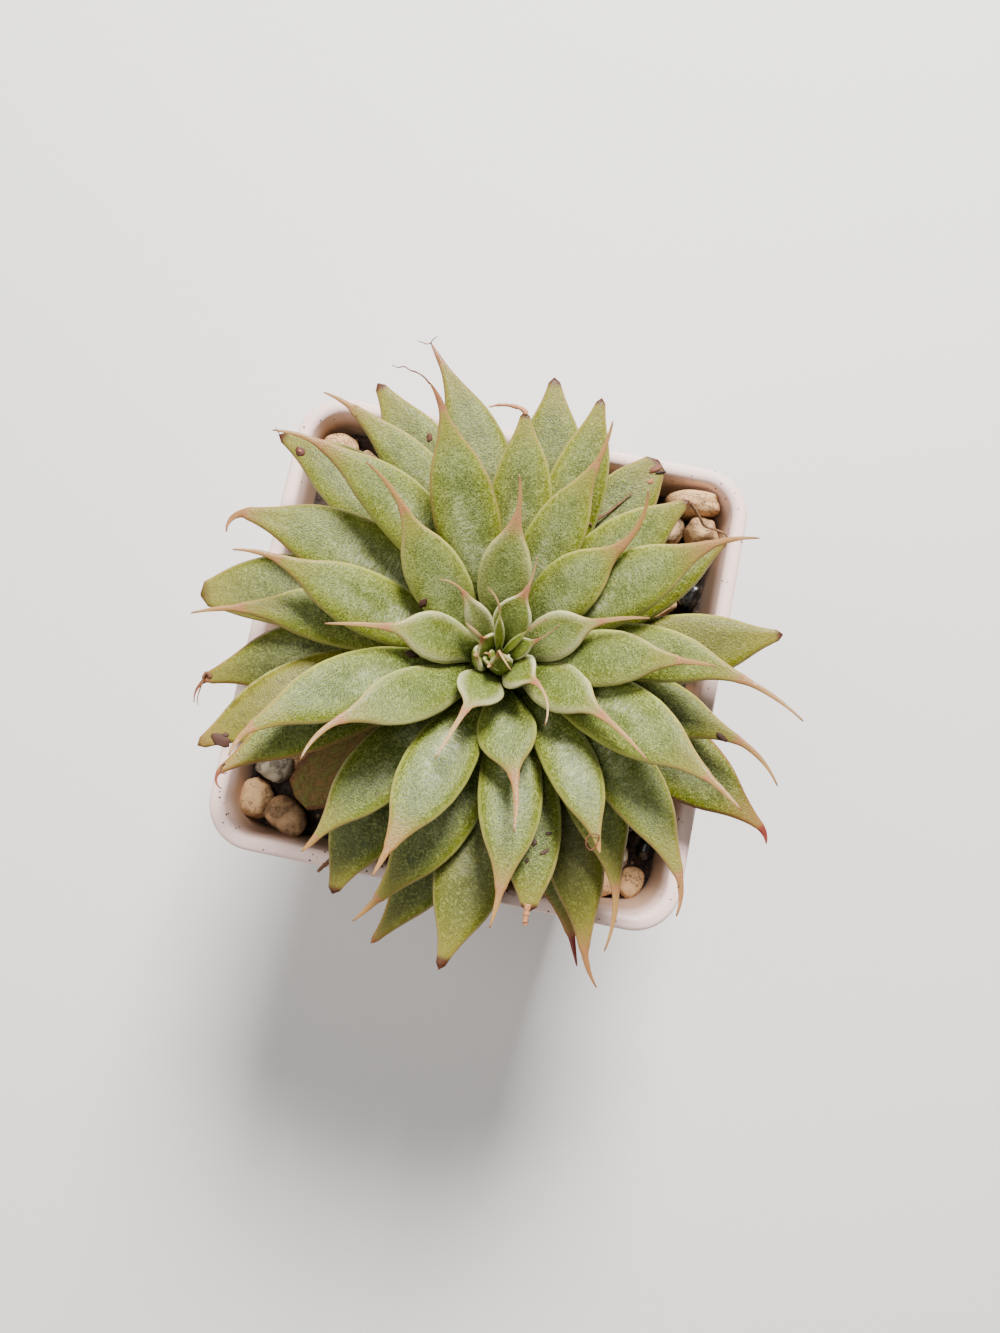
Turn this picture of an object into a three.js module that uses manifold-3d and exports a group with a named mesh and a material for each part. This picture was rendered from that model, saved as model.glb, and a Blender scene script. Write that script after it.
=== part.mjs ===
// Potted silver star graptoveria: a succulent rosette in a square white plastic pot,
// with potting soil and a top dressing of small stones. Millimetres, +Z up.
// The origin is the middle of the pot's underside, and the pot's sides lie along X and Y.

import * as THREE from "three";
import { mergeVertices } from "three/addons/utils/BufferGeometryUtils.js";
import Module from "manifold-3d";

const wasm = await Module();
wasm.setup();

// Driving dimensions of the pot
const POT_WIDTH = 70;
const POT_HEIGHT = 70;
const BASE_WIDTH = 50;
const WALL = 1.2;
const FLOOR = 1.6;
const RIM_LEDGE = 2.3;
const SKIRT_DROP = 8;
const SKIRT_THICKNESS = 1.1;
const CORNER_RADIUS = 7;
const CORNER_STEPS = 5;
const INNER_CORNER = { floor: 4.8, rim: 5 };
const FOOT_BEVEL = 0.8;
const DRAIN_RADIUS = 3;
const DRAIN_PLACE = 14;
const DRAIN_SIDES = 20;

// Filling: potting soil below, a layer of stones on it
const CLEARANCE = 0.3;
const SOIL_TOP = 54;
const GRIT_TOP = 62.3;
const GRIT_SLOPE = 0.03;
const STONE_PITCH = 7.4;
const STONE_ROW_SHARE = 0.86;
const STONE_COLUMNS = 5;
const STONE_JITTER = 0.9;
const STONE_SIZE = 4.6;
const STONE_SIZE_SHARES = [0.9, 1.3];
const STONE_STRETCH = 1.25;
const STONE_RISES = [1.4, 2.8];
const STONE_SINK = 1.2;
const STONE_FLATNESS = 0.8;
const STONE_PUSHES = [0.86, 1.1];
const STONE_SEED = 11;
const NEST_CLEARANCE = 0.39;

// Rosette: leaves are counted along the growth spiral, from the heart outwards
const FIRST_LEAF = -12;
const LAST_LEAF = 57;
const GOLDEN_ANGLE = 137.508;
const SPIRAL_START = 265.6;
const STEM_FOOT = new THREE.Vector3(2.3, -1.2, 46);
const STEM_TIP = new THREE.Vector3(3.0, -2.3, 87);
const STEM_RADIUS = 4.5;
const CROWN_BOTTOM = 67;
const CROWN_HEIGHT = 19;
const LEAF_WIDTH = 11.6;
const LEAF_DEPTH = 4.2;
const HEART_DEPTH = 0.9;
const CROWN_SHARE = 0.3;
const THINNEST = 0.6;
const TAIL_SHARE = 0.15;
const TAIL_STEPS = 2;

// Slopes in degrees of the oldest leaf, how much steeper the youngest stands, and how soon
// a leaf lies down as it ages
const BASE_SLOPE = { oldest: 16, rise: 66, power: 2 };
const TIP_SLOPE = { oldest: 3, rise: 40, power: 2.2 };

const potPlastic = new THREE.MeshStandardMaterial({ color: 0xf1e8e4, roughness: 0.42, metalness: 0 });
const soilMatter = new THREE.MeshStandardMaterial({ color: 0x2f241d, roughness: 0.98, metalness: 0 });
const leafSkin = new THREE.MeshStandardMaterial({ color: 0x94a86a, roughness: 0.5, metalness: 0 });
const tanStone = new THREE.MeshStandardMaterial({ color: 0xbf9f7e, roughness: 0.85, metalness: 0 });
const paleStone = new THREE.MeshStandardMaterial({ color: 0xb9b2a4, roughness: 0.8, metalness: 0 });
const blackStone = new THREE.MeshStandardMaterial({ color: 0x1d1c1c, roughness: 0.3, metalness: 0 });

// Small helpers

function randomSource(seed) {
  let state = seed;
  return () => {
    state = (state * 1664525 + 1013904223) % 4294967296;
    return state / 4294967296;
  };
}

const lerp = THREE.MathUtils.lerp;
const radians = THREE.MathUtils.degToRad;

// A closed solid carried over a row of rings. Each ring has the same number of points,
// turning right-handed about the direction of travel. Flat caps close both ends.
function loft(rings) {
  const around = rings[0].length;
  const positions = rings.flat().flatMap((point) => [point.x, point.y, point.z]);
  const index = [];
  for (let ring = 0; ring < rings.length - 1; ring += 1) {
    for (let side = 0; side < around; side += 1) {
      const next = (side + 1) % around;
      const a = ring * around + side;
      const b = ring * around + next;
      index.push(a, b, b + around, a, b + around, a + around);
    }
  }
  const last = (rings.length - 1) * around;
  for (let side = 1; side < around - 1; side += 1) {
    index.push(0, side + 1, side);
    index.push(last, last + side, last + side + 1);
  }
  const geometry = new THREE.BufferGeometry();
  geometry.setAttribute("position", new THREE.Float32BufferAttribute(positions, 3));
  geometry.setIndex(index);
  return geometry;
}

function toSolid(geometry) {
  const bare = geometry.clone();
  bare.deleteAttribute("normal");
  bare.deleteAttribute("uv");
  const merged = mergeVertices(bare, 1e-4);
  return new wasm.Manifold(new wasm.Mesh({
    numProp: 3,
    vertProperties: new Float32Array(merged.attributes.position.array),
    triVerts: new Uint32Array(merged.index.array),
  }));
}

function toGeometry(solid) {
  const mesh = solid.getMesh();
  const geometry = new THREE.BufferGeometry();
  geometry.setAttribute("position", new THREE.BufferAttribute(mesh.vertProperties, 3));
  geometry.setIndex(new THREE.BufferAttribute(mesh.triVerts, 1));
  return geometry;
}

function joinAll(solids) {
  return solids.reduce((whole, piece) => whole.add(piece));
}

// Pot

function roundedSquare(halfWidth, radius, z) {
  const points = [];
  const flat = halfWidth - radius;
  for (let corner = 0; corner < 4; corner += 1) {
    const start = corner * Math.PI / 2;
    const centreX = flat * Math.SQRT2 * Math.cos(start + Math.PI / 4);
    const centreY = flat * Math.SQRT2 * Math.sin(start + Math.PI / 4);
    for (let step = 0; step <= CORNER_STEPS; step += 1) {
      const angle = start + step / CORNER_STEPS * Math.PI / 2;
      points.push(new THREE.Vector3(
        centreX + radius * Math.cos(angle),
        centreY + radius * Math.sin(angle),
        z,
      ));
    }
  }
  return points;
}

// Half width of the pot's cavity at a height: the walls taper down to the base
function cavityHalfWidth(z) {
  const top = POT_WIDTH / 2 - RIM_LEDGE;
  return lerp(BASE_WIDTH / 2 - WALL, top, z / POT_HEIGHT);
}

function cavityRadius(z) {
  return lerp(INNER_CORNER.floor, INNER_CORNER.rim, z / POT_HEIGHT);
}

// Rings of the pot's profile, from the underside up its outside and down its inside:
// half width, corner radius and height of each
function makePot() {
  const half = POT_WIDTH / 2;
  const top = POT_HEIGHT;
  const skirtInside = half - SKIRT_THICKNESS;
  const underLedge = top - WALL;
  const wallOutside = (z) => cavityHalfWidth(z) + WALL;
  const shell = loft([
    roundedSquare(wallOutside(0) - FOOT_BEVEL, 5, 0),
    roundedSquare(wallOutside(FOOT_BEVEL), 6, FOOT_BEVEL),
    roundedSquare(wallOutside(underLedge), 6.2, underLedge),
    roundedSquare(skirtInside, 6.3, underLedge),
    roundedSquare(skirtInside - 0.2, 6.2, top - SKIRT_DROP),
    roundedSquare(half - 0.5, CORNER_RADIUS - 0.2, top - SKIRT_DROP),
    roundedSquare(half, CORNER_RADIUS, top - 1.6),
    roundedSquare(half - 0.35, CORNER_RADIUS - 0.2, top - 0.5),
    roundedSquare(half - 1.1, CORNER_RADIUS - 0.5, top),
    roundedSquare(half - RIM_LEDGE + 0.9, CORNER_RADIUS - 1.6, top),
    roundedSquare(half - RIM_LEDGE + 0.1, CORNER_RADIUS - 2, top - 0.7),
    roundedSquare(cavityHalfWidth(top - 4), cavityRadius(top - 4), top - 4),
    roundedSquare(cavityHalfWidth(FLOOR), cavityRadius(FLOOR), FLOOR),
  ]);
  let solid = toSolid(shell);
  for (const [x, y] of [[1, 1], [-1, 1], [-1, -1], [1, -1]]) {
    const drain = new THREE.CylinderGeometry(DRAIN_RADIUS, DRAIN_RADIUS, 4 * FLOOR, DRAIN_SIDES);
    drain.rotateX(Math.PI / 2);
    drain.translate(x * DRAIN_PLACE, y * DRAIN_PLACE, FLOOR / 2);
    solid = solid.subtract(toSolid(drain));
  }
  return toGeometry(solid);
}

// What fills the pot between two heights, a clearance inside its wall.
// The filling lies higher at the back left than at the front right, by a slope.
function tilted(x, y, slope) {
  return slope * (y - x);
}

function fillBlock(bottom, top, slope) {
  const ring = (z) => roundedSquare(cavityHalfWidth(z) - CLEARANCE, cavityRadius(z) - CLEARANCE, z);
  const cover = ring(top).map((point) => point.setZ(top + tilted(point.x, point.y, slope)));
  return toSolid(loft([ring(bottom), cover]));
}

function stemAt(z) {
  return STEM_FOOT.clone().lerp(STEM_TIP, (z - STEM_FOOT.z) / (STEM_TIP.z - STEM_FOOT.z));
}

function stemTube(levels) {
  const sides = 14;
  return toSolid(loft(levels.map(([z, radius]) => {
    const centre = stemAt(z);
    return Array.from({ length: sides }, (_, side) => {
      const angle = side / sides * 2 * Math.PI;
      return new THREE.Vector3(
        centre.x + radius * Math.cos(angle),
        centre.y + radius * Math.sin(angle),
        z,
      );
    });
  })));
}

// The plain hole that the stem stands in, through stones and soil
function stemHole() {
  return stemTube([
    [STEM_FOOT.z - CLEARANCE, STEM_RADIUS + CLEARANCE],
    [POT_HEIGHT, STEM_RADIUS + CLEARANCE],
  ]);
}

function makeSoil() {
  return toGeometry(fillBlock(FLOOR + CLEARANCE, SOIL_TOP, 0).subtract(stemHole()));
}

// Stones

// Stones that the photograph shows in the pot's corners: place, length, breadth, rise of
// the top above the grit, turn in degrees.
const CORNER_STONES = [
  { x: -29, y: 28.4, long: 5.8, broad: 4.8, rise: 3.6, turn: 20 },
  { x: -24.4, y: 26.6, long: 4.6, broad: 4.2, rise: 2.6, turn: 60 },
  { x: 26, y: 30.4, long: 8.2, broad: 3.8, rise: 5.6, turn: 6 },
  { x: 29.2, y: 26.4, long: 5.2, broad: 4.8, rise: 4.8, turn: 20 },
  { x: 24.6, y: 25.6, long: 4.6, broad: 4, rise: 3.4, turn: 60 },
  { x: 28.8, y: 21.8, long: 5, broad: 4, rise: 3.6, turn: 10 },
  { x: 24.6, y: 14, long: 6.4, broad: 4.4, rise: 2.8, turn: 40 },
  { x: -29.8, y: -27.4, long: 5, broad: 5.6, rise: 3.8, turn: -10 },
  { x: -24.6, y: -29.4, long: 6.8, broad: 5, rise: 4.4, turn: -20 },
  { x: 24.4, y: -29.6, long: 4.6, broad: 4, rise: 2.4, turn: 30 },
  { x: 28.6, y: -28.6, long: 5, broad: 4, rise: 1.6, turn: 80 },
];

// A weathered stone: an icosphere whose points are pushed in and out at random.
// The gap, if any, is left all round it.
function stone(place, detail, random, gap = 0) {
  const geometry = new THREE.IcosahedronGeometry(1, detail);
  geometry.deleteAttribute("normal");
  geometry.deleteAttribute("uv");
  const merged = mergeVertices(geometry, 1e-4);
  const points = merged.attributes.position;
  for (let i = 0; i < points.count; i += 1) {
    const push = lerp(...STONE_PUSHES, random());
    points.setXYZ(i, points.getX(i) * push, points.getY(i) * push, points.getZ(i) * push);
  }
  const high = Math.max(place.rise + STONE_SINK, place.broad * STONE_FLATNESS);
  const top = GRIT_TOP + tilted(place.x, place.y, GRIT_SLOPE) + place.rise;
  merged.scale(place.long / 2 + gap, place.broad / 2 + gap, high / 2 + gap);
  merged.rotateZ(radians(place.turn));
  merged.translate(place.x, place.y, top - high / 2);
  return toSolid(merged);
}

// The layer of tan stones: a bed of grit with stones sunk in it, pitched in offset rows
function makeGravel(looseStones) {
  const random = randomSource(STONE_SEED);
  const half = cavityHalfWidth(GRIT_TOP);
  const pieces = [fillBlock(SOIL_TOP + CLEARANCE, GRIT_TOP, GRIT_SLOPE)];
  const rowPitch = STONE_PITCH * STONE_ROW_SHARE;
  const rows = Math.floor(half / rowPitch);
  for (let row = -rows; row <= rows; row += 1) {
    for (let column = -STONE_COLUMNS; column <= STONE_COLUMNS; column += 1) {
      const shift = (row % 2) / 2;
      const x = (column + shift) * STONE_PITCH + lerp(-STONE_JITTER, STONE_JITTER, random());
      const y = row * rowPitch + lerp(-STONE_JITTER, STONE_JITTER, random());
      const size = STONE_SIZE * lerp(...STONE_SIZE_SHARES, random());
      const rise = lerp(...STONE_RISES, random());
      const turn = random() * 180;
      const place = { x, y, long: size * STONE_STRETCH, broad: size, rise, turn };
      const nearSeen = CORNER_STONES.some((seen) => Math.hypot(seen.x - x, seen.y - y) < STONE_SIZE);
      if (Math.max(Math.abs(x), Math.abs(y)) < half && !nearSeen) {
        pieces.push(stone(place, 0, random));
      }
    }
  }
  CORNER_STONES.forEach((place) => pieces.push(stone(place, 1, random)));
  let solid = joinAll(pieces).intersect(fillBlock(SOIL_TOP + CLEARANCE, POT_HEIGHT, 0));
  solid = solid.subtract(stemHole());
  looseStones.forEach(({ nest }) => {
    solid = solid.subtract(nest);
  });
  return toGeometry(largestBody(solid));
}

function largestBody(solid) {
  return solid.decompose().reduce((best, body) => (body.volume() > best.volume() ? body : best));
}

// Loose stones of another colour, each lying in a nest a clearance larger than itself
const PALE_STONES = [
  { x: -28, y: -21.4, long: 5.6, broad: 5, rise: 4.4, turn: 60 },
  { x: 25.6, y: -25.2, long: 4.2, broad: 4, rise: 3.2, turn: 0 },
];
const BLACK_STONES = [
  { x: 29.2, y: 16.6, long: 4.8, broad: 4.2, rise: 3.4, turn: 60 },
  { x: 28.6, y: 11.4, long: 4.4, broad: 3.4, rise: 2.8, turn: 10 },
  { x: 26.4, y: -19.6, long: 4.8, broad: 3.6, rise: 2.6, turn: 80 },
  { x: 30, y: -23.2, long: 4.4, broad: 3, rise: 2, turn: 85 },
];

function makeLooseStones() {
  const pale = PALE_STONES.map((place, i) => ({ ...place, kind: "pale", number: i + 1 }));
  const black = BLACK_STONES.map((place, i) => ({ ...place, kind: "black", number: i + 1 }));
  return [...pale, ...black].map((place, i) => ({
    name: `${place.kind}_stone_${place.number}`,
    material: place.kind === "pale" ? paleStone : blackStone,
    solid: stone(place, 1, randomSource(STONE_SEED + i)),
    nest: stone(place, 1, randomSource(STONE_SEED + i), NEST_CLEARANCE),
  }));
}

// Leaves

// Where each leaf of the photographed plant stands beside the golden-angle rule.
// n: number on the spiral; turn: departure of the blade's tip, degrees; reach: tip's distance
// from the stem, mm; sweep: how far the blade curves to the left, degrees; wide: its width as a
// share of the rule's; tail: length of the tail, mm, with none on a blade whose end has dried off;
// curl: the tail's own turn; cut: share of the blade's form that is left where its end is gone.
const OUTER_LEAVES = [
  { n: 1, turn: -16, reach: 12.5, sweep: -10, wide: 1, tail: 7.5, curl: -20 },
  { n: 2, turn: -1, reach: 13.5, sweep: 15, wide: 1, tail: 9, curl: 10 },
  { n: 3, turn: 21, reach: 14.5, sweep: -15, wide: 1, tail: 9.5, curl: -15 },
  { n: 4, turn: -2, reach: 16.5, sweep: -15, wide: 1, tail: 6, curl: 25 },
  { n: 5, turn: -16, reach: 20.5, sweep: -5, wide: 1, tail: 8, curl: 50 },
  { n: 6, turn: -4, reach: 21.5, sweep: -5, wide: 1, tail: 5.5, curl: -10 },
  { n: 7, turn: -12, reach: 20.5, sweep: -20, wide: 1, tail: 8.5, curl: 30 },
  { n: 8, turn: 3, reach: 15.5, sweep: 5, wide: 1, tail: 8, curl: -20 },
  { n: 9, turn: -11, reach: 20, sweep: -15, wide: 1, tail: 9, curl: 60 },
  { n: 10, turn: 10, reach: 30.5, sweep: 25, wide: 1, tail: 5, curl: 45 },
  { n: 11, turn: 1, reach: 29, sweep: -20, wide: 1.05, tail: 6.5, curl: -10 },
  { n: 12, turn: -1, reach: 30.5, sweep: 0, wide: 1, tail: 4, curl: 25 },
  { n: 13, turn: 0, reach: 27.5, sweep: 0, wide: 1, tail: 4.5, curl: 0 },
  { n: 14, turn: 7, reach: 29, sweep: -10, wide: 1, tail: 7, curl: -30 },
  { n: 15, turn: 1, reach: 29.5, sweep: -5, wide: 0.92, tail: 6.5, curl: 30 },
  { n: 16, turn: 3, reach: 27, sweep: -30, wide: 0.77, tail: 1.5, curl: 0 },
  { n: 17, turn: -9, reach: 27, sweep: -10, wide: 0.83, tail: 7, curl: 20 },
  { n: 18, turn: -5, reach: 37, sweep: 20, wide: 0.86, tail: 3, curl: 120 },
  { n: 19, turn: 7, reach: 30.5, sweep: -35, wide: 0.8, tail: 10, curl: -25 },
  { n: 20, turn: 6, reach: 35, sweep: 38, wide: 0.86, tail: 7, curl: 30 },
  { n: 21, turn: 9, reach: 29.5, sweep: -20, wide: 0.88, tail: 5.5, curl: -10 },
  { n: 22, turn: -0.5, reach: 32.4, sweep: -15, wide: 0.88, tail: 0, curl: 0 },
  { n: 23, turn: -7, reach: 33.5, sweep: 20, wide: 0.83, tail: 7, curl: 15 },
  { n: 24, turn: -5, reach: 35.5, sweep: -38, wide: 0.84, tail: 6, curl: -45 },
  { n: 25, turn: -8, reach: 33.5, sweep: 10, wide: 0.86, tail: 0, curl: 0 },
  { n: 26, turn: -4, reach: 33, sweep: 10, wide: 0.88, tail: 3, curl: -10 },
  { n: 28, turn: 6, reach: 38.5, sweep: 35, wide: 1, tail: 4.5, curl: 110 },
  { n: 29, turn: -5, reach: 33.5, sweep: -22, wide: 0.82, tail: 0, curl: 0, cut: 0.96 },
  { n: 30, turn: 9, reach: 38.6, sweep: 15, wide: 0.82, tail: 0, curl: 0 },
  { n: 31, turn: 0, reach: 41.2, sweep: 30, wide: 1, tail: 0, curl: 0 },
  { n: 32, turn: 7, reach: 33, sweep: -15, wide: 0.8, tail: 9, curl: -45 },
  { n: 33, turn: 8, reach: 40, sweep: 40, wide: 0.72, tail: 5, curl: 20 },
  { n: 34, turn: -5.5, reach: 35, sweep: -30, wide: 0.88, tail: 5, curl: -10 },
  { n: 35, turn: 1, reach: 36, sweep: 5, wide: 0.78, tail: 0, curl: 0 },
  { n: 36, turn: 3.5, reach: 41.7, sweep: 45, wide: 1, tail: 0, curl: 0, cut: 0.93 },
  { n: 37, turn: -4, reach: 33.5, sweep: -42, wide: 0.8, tail: 9.5, curl: -30 },
  { n: 38, turn: -0.5, reach: 41.4, sweep: 20, wide: 1, tail: 0, curl: 0 },
  { n: 40, turn: 11, reach: 39.7, sweep: 5, wide: 0.92, tail: 0, curl: 0 },
  { n: 41, turn: 2, reach: 45, sweep: 35, wide: 1, tail: 0, curl: 0 },
  { n: 42, turn: -10, reach: 41.5, sweep: -20, wide: 1, tail: 0.8, curl: 0 },
  { n: 43, turn: 5, reach: 37.5, sweep: -5, wide: 0.93, tail: 0, curl: 0, cut: 0.93 },
  { n: 44, turn: -1.5, reach: 40.3, sweep: 30, wide: 1, tail: 4.5, curl: 80 },
  { n: 45, turn: 6, reach: 42, sweep: -22, wide: 1, tail: 3, curl: -50 },
  { n: 46, turn: 1, reach: 44.5, sweep: 32, wide: 0.87, tail: 4, curl: 0 },
  { n: 47, turn: -2.5, reach: 39.2, sweep: 28, wide: 1, tail: 0, curl: 0 },
  { n: 50, turn: -2.5, reach: 40.5, sweep: -30, wide: 0.82, tail: 6, curl: 30 },
  { n: 54, turn: -6.5, reach: 46, sweep: 20, wide: 1, tail: 0, curl: 0 },
  { n: 55, turn: -11, reach: 41.8, sweep: -35, wide: 0.82, tail: 1, curl: 0 },
];

// The heart's leaves stand nearly upright and are set one by one: length of the blade, its slope
// at base and tip in degrees, and droop, the change of slope along the tail.
const HEART_LEAVES = [
  { n: -12, turn: -8, length: 7, slopes: [70, 35], sweep: 0, wide: 1.2, tail: 3.5, curl: -20, droop: 0 },
  { n: -11, turn: 0, length: 4, slopes: [86, 70], sweep: 0, wide: 1, tail: 3, curl: 30, droop: -20 },
  { n: -10, turn: 0, length: 4.5, slopes: [86, 75], sweep: 0, wide: 1, tail: 3, curl: -30, droop: -20 },
  { n: -9, turn: -8, length: 8, slopes: [82, 35], sweep: 0, wide: 0.55, tail: 4, curl: 60, droop: 0 },
  { n: -8, turn: 0, length: 5, slopes: [86, 70], sweep: 0, wide: 1, tail: 3, curl: 20, droop: -20 },
  { n: -7, turn: 4, length: 7.8, slopes: [78, 44], sweep: 0, wide: 0.75, tail: 4.5, curl: 25, droop: 0 },
  { n: -6, turn: -8, length: 6.5, slopes: [82, 72], sweep: 0, wide: 0.95, tail: 3.6, curl: 0, droop: -60 },
  { n: -5, turn: -4, length: 7.5, slopes: [86, 112], sweep: 0, wide: 0.75, tail: 5.5, curl: 25, droop: -140 },
  { n: -4, turn: 1, length: 11, slopes: [75, 30], sweep: -12, wide: 1.1, tail: 5, curl: 25, droop: 0 },
  { n: -3, turn: -15, length: 6, slopes: [76, 84], sweep: 0, wide: 0.7, tail: 2, curl: -20, droop: -70 },
  { n: -2, turn: -20, length: 9.5, slopes: [85, 45], sweep: 0, wide: 1, tail: 7.5, curl: -70, droop: -30 },
  { n: -1, turn: 5, length: 12, slopes: [82, 36], sweep: 0, wide: 0.62, tail: 4.5, curl: 70, droop: 0 },
  { n: 0, turn: -12.5, length: 11.3, slopes: [77, 39], sweep: 0, wide: 1.06, tail: 9, curl: 0, droop: -15 },
];

// Two leaves lie lower than the rule puts them: one that has withered, thin and flat in the pot,
// and the oldest one, of which only the tail shows below the others
const LOW_LEAVES = [
  {
    n: 39, turn: -5, reach: 35.3, sweep: 0, wide: 0.95, tail: 0, curl: 0, cut: 0.88,
    droop: 0, depth: 1.4, height: 68.4, slopes: [0, 0],
  },
  {
    n: 63, turn: 8.2, reach: 38.5, sweep: -10, wide: 0.8, tail: 5, curl: 0,
    droop: 0, depth: 3, height: 69.5, slopes: [8, 2],
  },
];

// Outline and depth of every blade from base to tip, as shares of its width and depth
const BLADE_FORM = [
  { at: 0, wide: 0.4, deep: 0.7 },
  { at: 0.15, wide: 0.5, deep: 0.9 },
  { at: 0.3, wide: 0.73, deep: 1 },
  { at: 0.44, wide: 0.94, deep: 1 },
  { at: 0.58, wide: 1, deep: 0.92 },
  { at: 0.7, wide: 0.93, deep: 0.8 },
  { at: 0.81, wide: 0.72, deep: 0.6 },
  { at: 0.91, wide: 0.36, deep: 0.38 },
  { at: 1, wide: 0.13, deep: 0.2 },
];

function bladeWidth(at) {
  const above = BLADE_FORM.findIndex((station) => station.at >= at);
  const [from, to] = [BLADE_FORM[Math.max(0, above - 1)], BLADE_FORM[above]];
  const share = (at - from.at) / (to.at - from.at || 1);
  return lerp(from.wide, to.wide, share);
}

// Age of a leaf: 0 at the heart, 1 at the oldest
function leafAge(n) {
  return (n - FIRST_LEAF) / (LAST_LEAF - FIRST_LEAF);
}

// Young leaves stand up, old ones lie out
function slopeAtBase(n) {
  return BASE_SLOPE.oldest + BASE_SLOPE.rise * (1 - leafAge(n)) ** BASE_SLOPE.power;
}

function slopeAtTip(n) {
  return TIP_SLOPE.oldest + TIP_SLOPE.rise * (1 - leafAge(n)) ** TIP_SLOPE.power;
}

function baseHeight(n) {
  return CROWN_BOTTOM + (1 - leafAge(n)) * CROWN_HEIGHT;
}

function baseRadius(n) {
  return Math.min(STEM_RADIUS - 1, 0.3 + 11 * leafAge(n));
}

function leafWidth(n) {
  return LEAF_WIDTH * (1 - Math.exp(-(n + 13.5) / 18));
}

// Leaves of the heart sit on broad bases, the grown ones on narrow ones
function baseShare(n) {
  return lerp(0.9, 0.4, Math.min(1, 3.4 * leafAge(n)));
}

function leafDepth(n) {
  return Math.max(HEART_DEPTH, LEAF_DEPTH * leafWidth(n) / LEAF_WIDTH);
}

function direction(heading, slope) {
  const flat = Math.cos(radians(slope));
  return new THREE.Vector3(
    flat * Math.cos(radians(heading)),
    flat * Math.sin(radians(heading)),
    Math.sin(radians(slope)),
  );
}

// One ring across a blade: two margins, a low crown above and a keel below
function bladeRing(centre, heading, slope, halfWidth, depth) {
  const across = new THREE.Vector3(-Math.sin(radians(heading)), Math.cos(radians(heading)), 0);
  const up = direction(heading, slope).cross(across);
  const crown = CROWN_SHARE * depth;
  const keel = depth - crown;
  const section = [[1, 0], [0, crown], [-1, 0], [-0.6, -0.8 * keel], [0, -keel], [0.6, -0.8 * keel]];
  return section.map(([side, height]) => centre.clone()
    .addScaledVector(across, side * halfWidth)
    .addScaledVector(up, height));
}

// A leaf's centre line has its heading turn and its slope fall evenly along its length.
// It is walked in small steps of unit length, then scaled so that the tip has its reach.
function walkBlade(leaf) {
  const steps = 40;
  const walked = [new THREE.Vector3()];
  for (let step = 0; step < steps; step += 1) {
    const s = (step + 0.5) / steps;
    const ahead = direction(leaf.sweep * s, lerp(leaf.slopes[0], leaf.slopes[1], s));
    walked.push(walked[step].clone().addScaledVector(ahead, 1 / steps));
  }
  const end = walked[steps];
  const root = baseRadius(leaf.n);
  const square = end.x ** 2 + end.y ** 2;
  const length = leaf.length ?? (
    Math.sqrt((root * end.x) ** 2 + square * (leaf.reach ** 2 - root ** 2)) - root * end.x
  ) / square;
  const bearing = SPIRAL_START + GOLDEN_ANGLE * leaf.n + leaf.turn;
  const heading = bearing - THREE.MathUtils.radToDeg(Math.atan2(length * end.y, root + length * end.x));
  const foot = stemAt(leaf.height ?? baseHeight(leaf.n));
  const pointAt = (s) => {
    const whole = Math.min(steps - 1, Math.floor(s * steps));
    const point = walked[whole].clone().lerp(walked[whole + 1], s * steps - whole);
    point.multiplyScalar(length).add(new THREE.Vector3(root, 0, 0));
    return point.applyAxisAngle(new THREE.Vector3(0, 0, 1), radians(heading)).add(foot);
  };
  return { pointAt, heading };
}

function makeLeaf(leaf) {
  const { pointAt, heading } = walkBlade(leaf);
  const halfWidth = leaf.wide * leafWidth(leaf.n) / 2;
  const depth = leaf.depth ?? leafDepth(leaf.n);
  const dried = leaf.tail === 0;
  const cut = leaf.cut ?? 1;
  const stations = BLADE_FORM.filter((_, i) => leaf.n > 0 || i % 2 === 0 || i === BLADE_FORM.length - 1);
  const rings = stations.map(({ at, deep }) => {
    const share = Math.max(bladeWidth(at * cut), (1 - at) * baseShare(leaf.n));
    return bladeRing(
      pointAt(at),
      heading + leaf.sweep * at,
      lerp(leaf.slopes[0], leaf.slopes[1], at),
      Math.max(THINNEST / 2, halfWidth * share),
      Math.max(THINNEST, depth * deep),
    );
  });
  let point = pointAt(1);
  for (let step = 1; step <= TAIL_STEPS && !dried; step += 1) {
    const s = step / TAIL_STEPS;
    const middle = (step - 0.5) / TAIL_STEPS;
    const turned = heading + leaf.sweep + leaf.curl * middle;
    const slope = leaf.slopes[1] + leaf.droop * middle;
    point = point.clone().addScaledVector(direction(turned, slope), leaf.tail / TAIL_STEPS);
    rings.push(bladeRing(
      point,
      turned,
      slope,
      Math.max(THINNEST / 2, halfWidth * TAIL_SHARE * (1 - s)),
      Math.max(THINNEST, depth * TAIL_SHARE * (1 - s)),
    ));
  }
  return toSolid(loft(rings));
}

function makeRosette() {
  const core = stemTube([
    [STEM_FOOT.z, 3],
    [CROWN_BOTTOM - 4, STEM_RADIUS],
    [baseHeight(8), STEM_RADIUS + 0.8],
    [baseHeight(0), baseRadius(0) + 0.5],
    [STEM_TIP.z - 1, 0.9],
  ]);
  const outer = OUTER_LEAVES.map((leaf) => makeLeaf({
    ...leaf,
    slopes: [slopeAtBase(leaf.n), slopeAtTip(leaf.n)],
    droop: 0,
  }));
  const others = [...LOW_LEAVES, ...HEART_LEAVES].map(makeLeaf);
  return toGeometry(largestBody(joinAll([core, ...outer, ...others])));
}

// Assembly

function named(name, geometry, material) {
  const mesh = new THREE.Mesh(geometry, material);
  mesh.name = name;
  return mesh;
}

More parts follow.
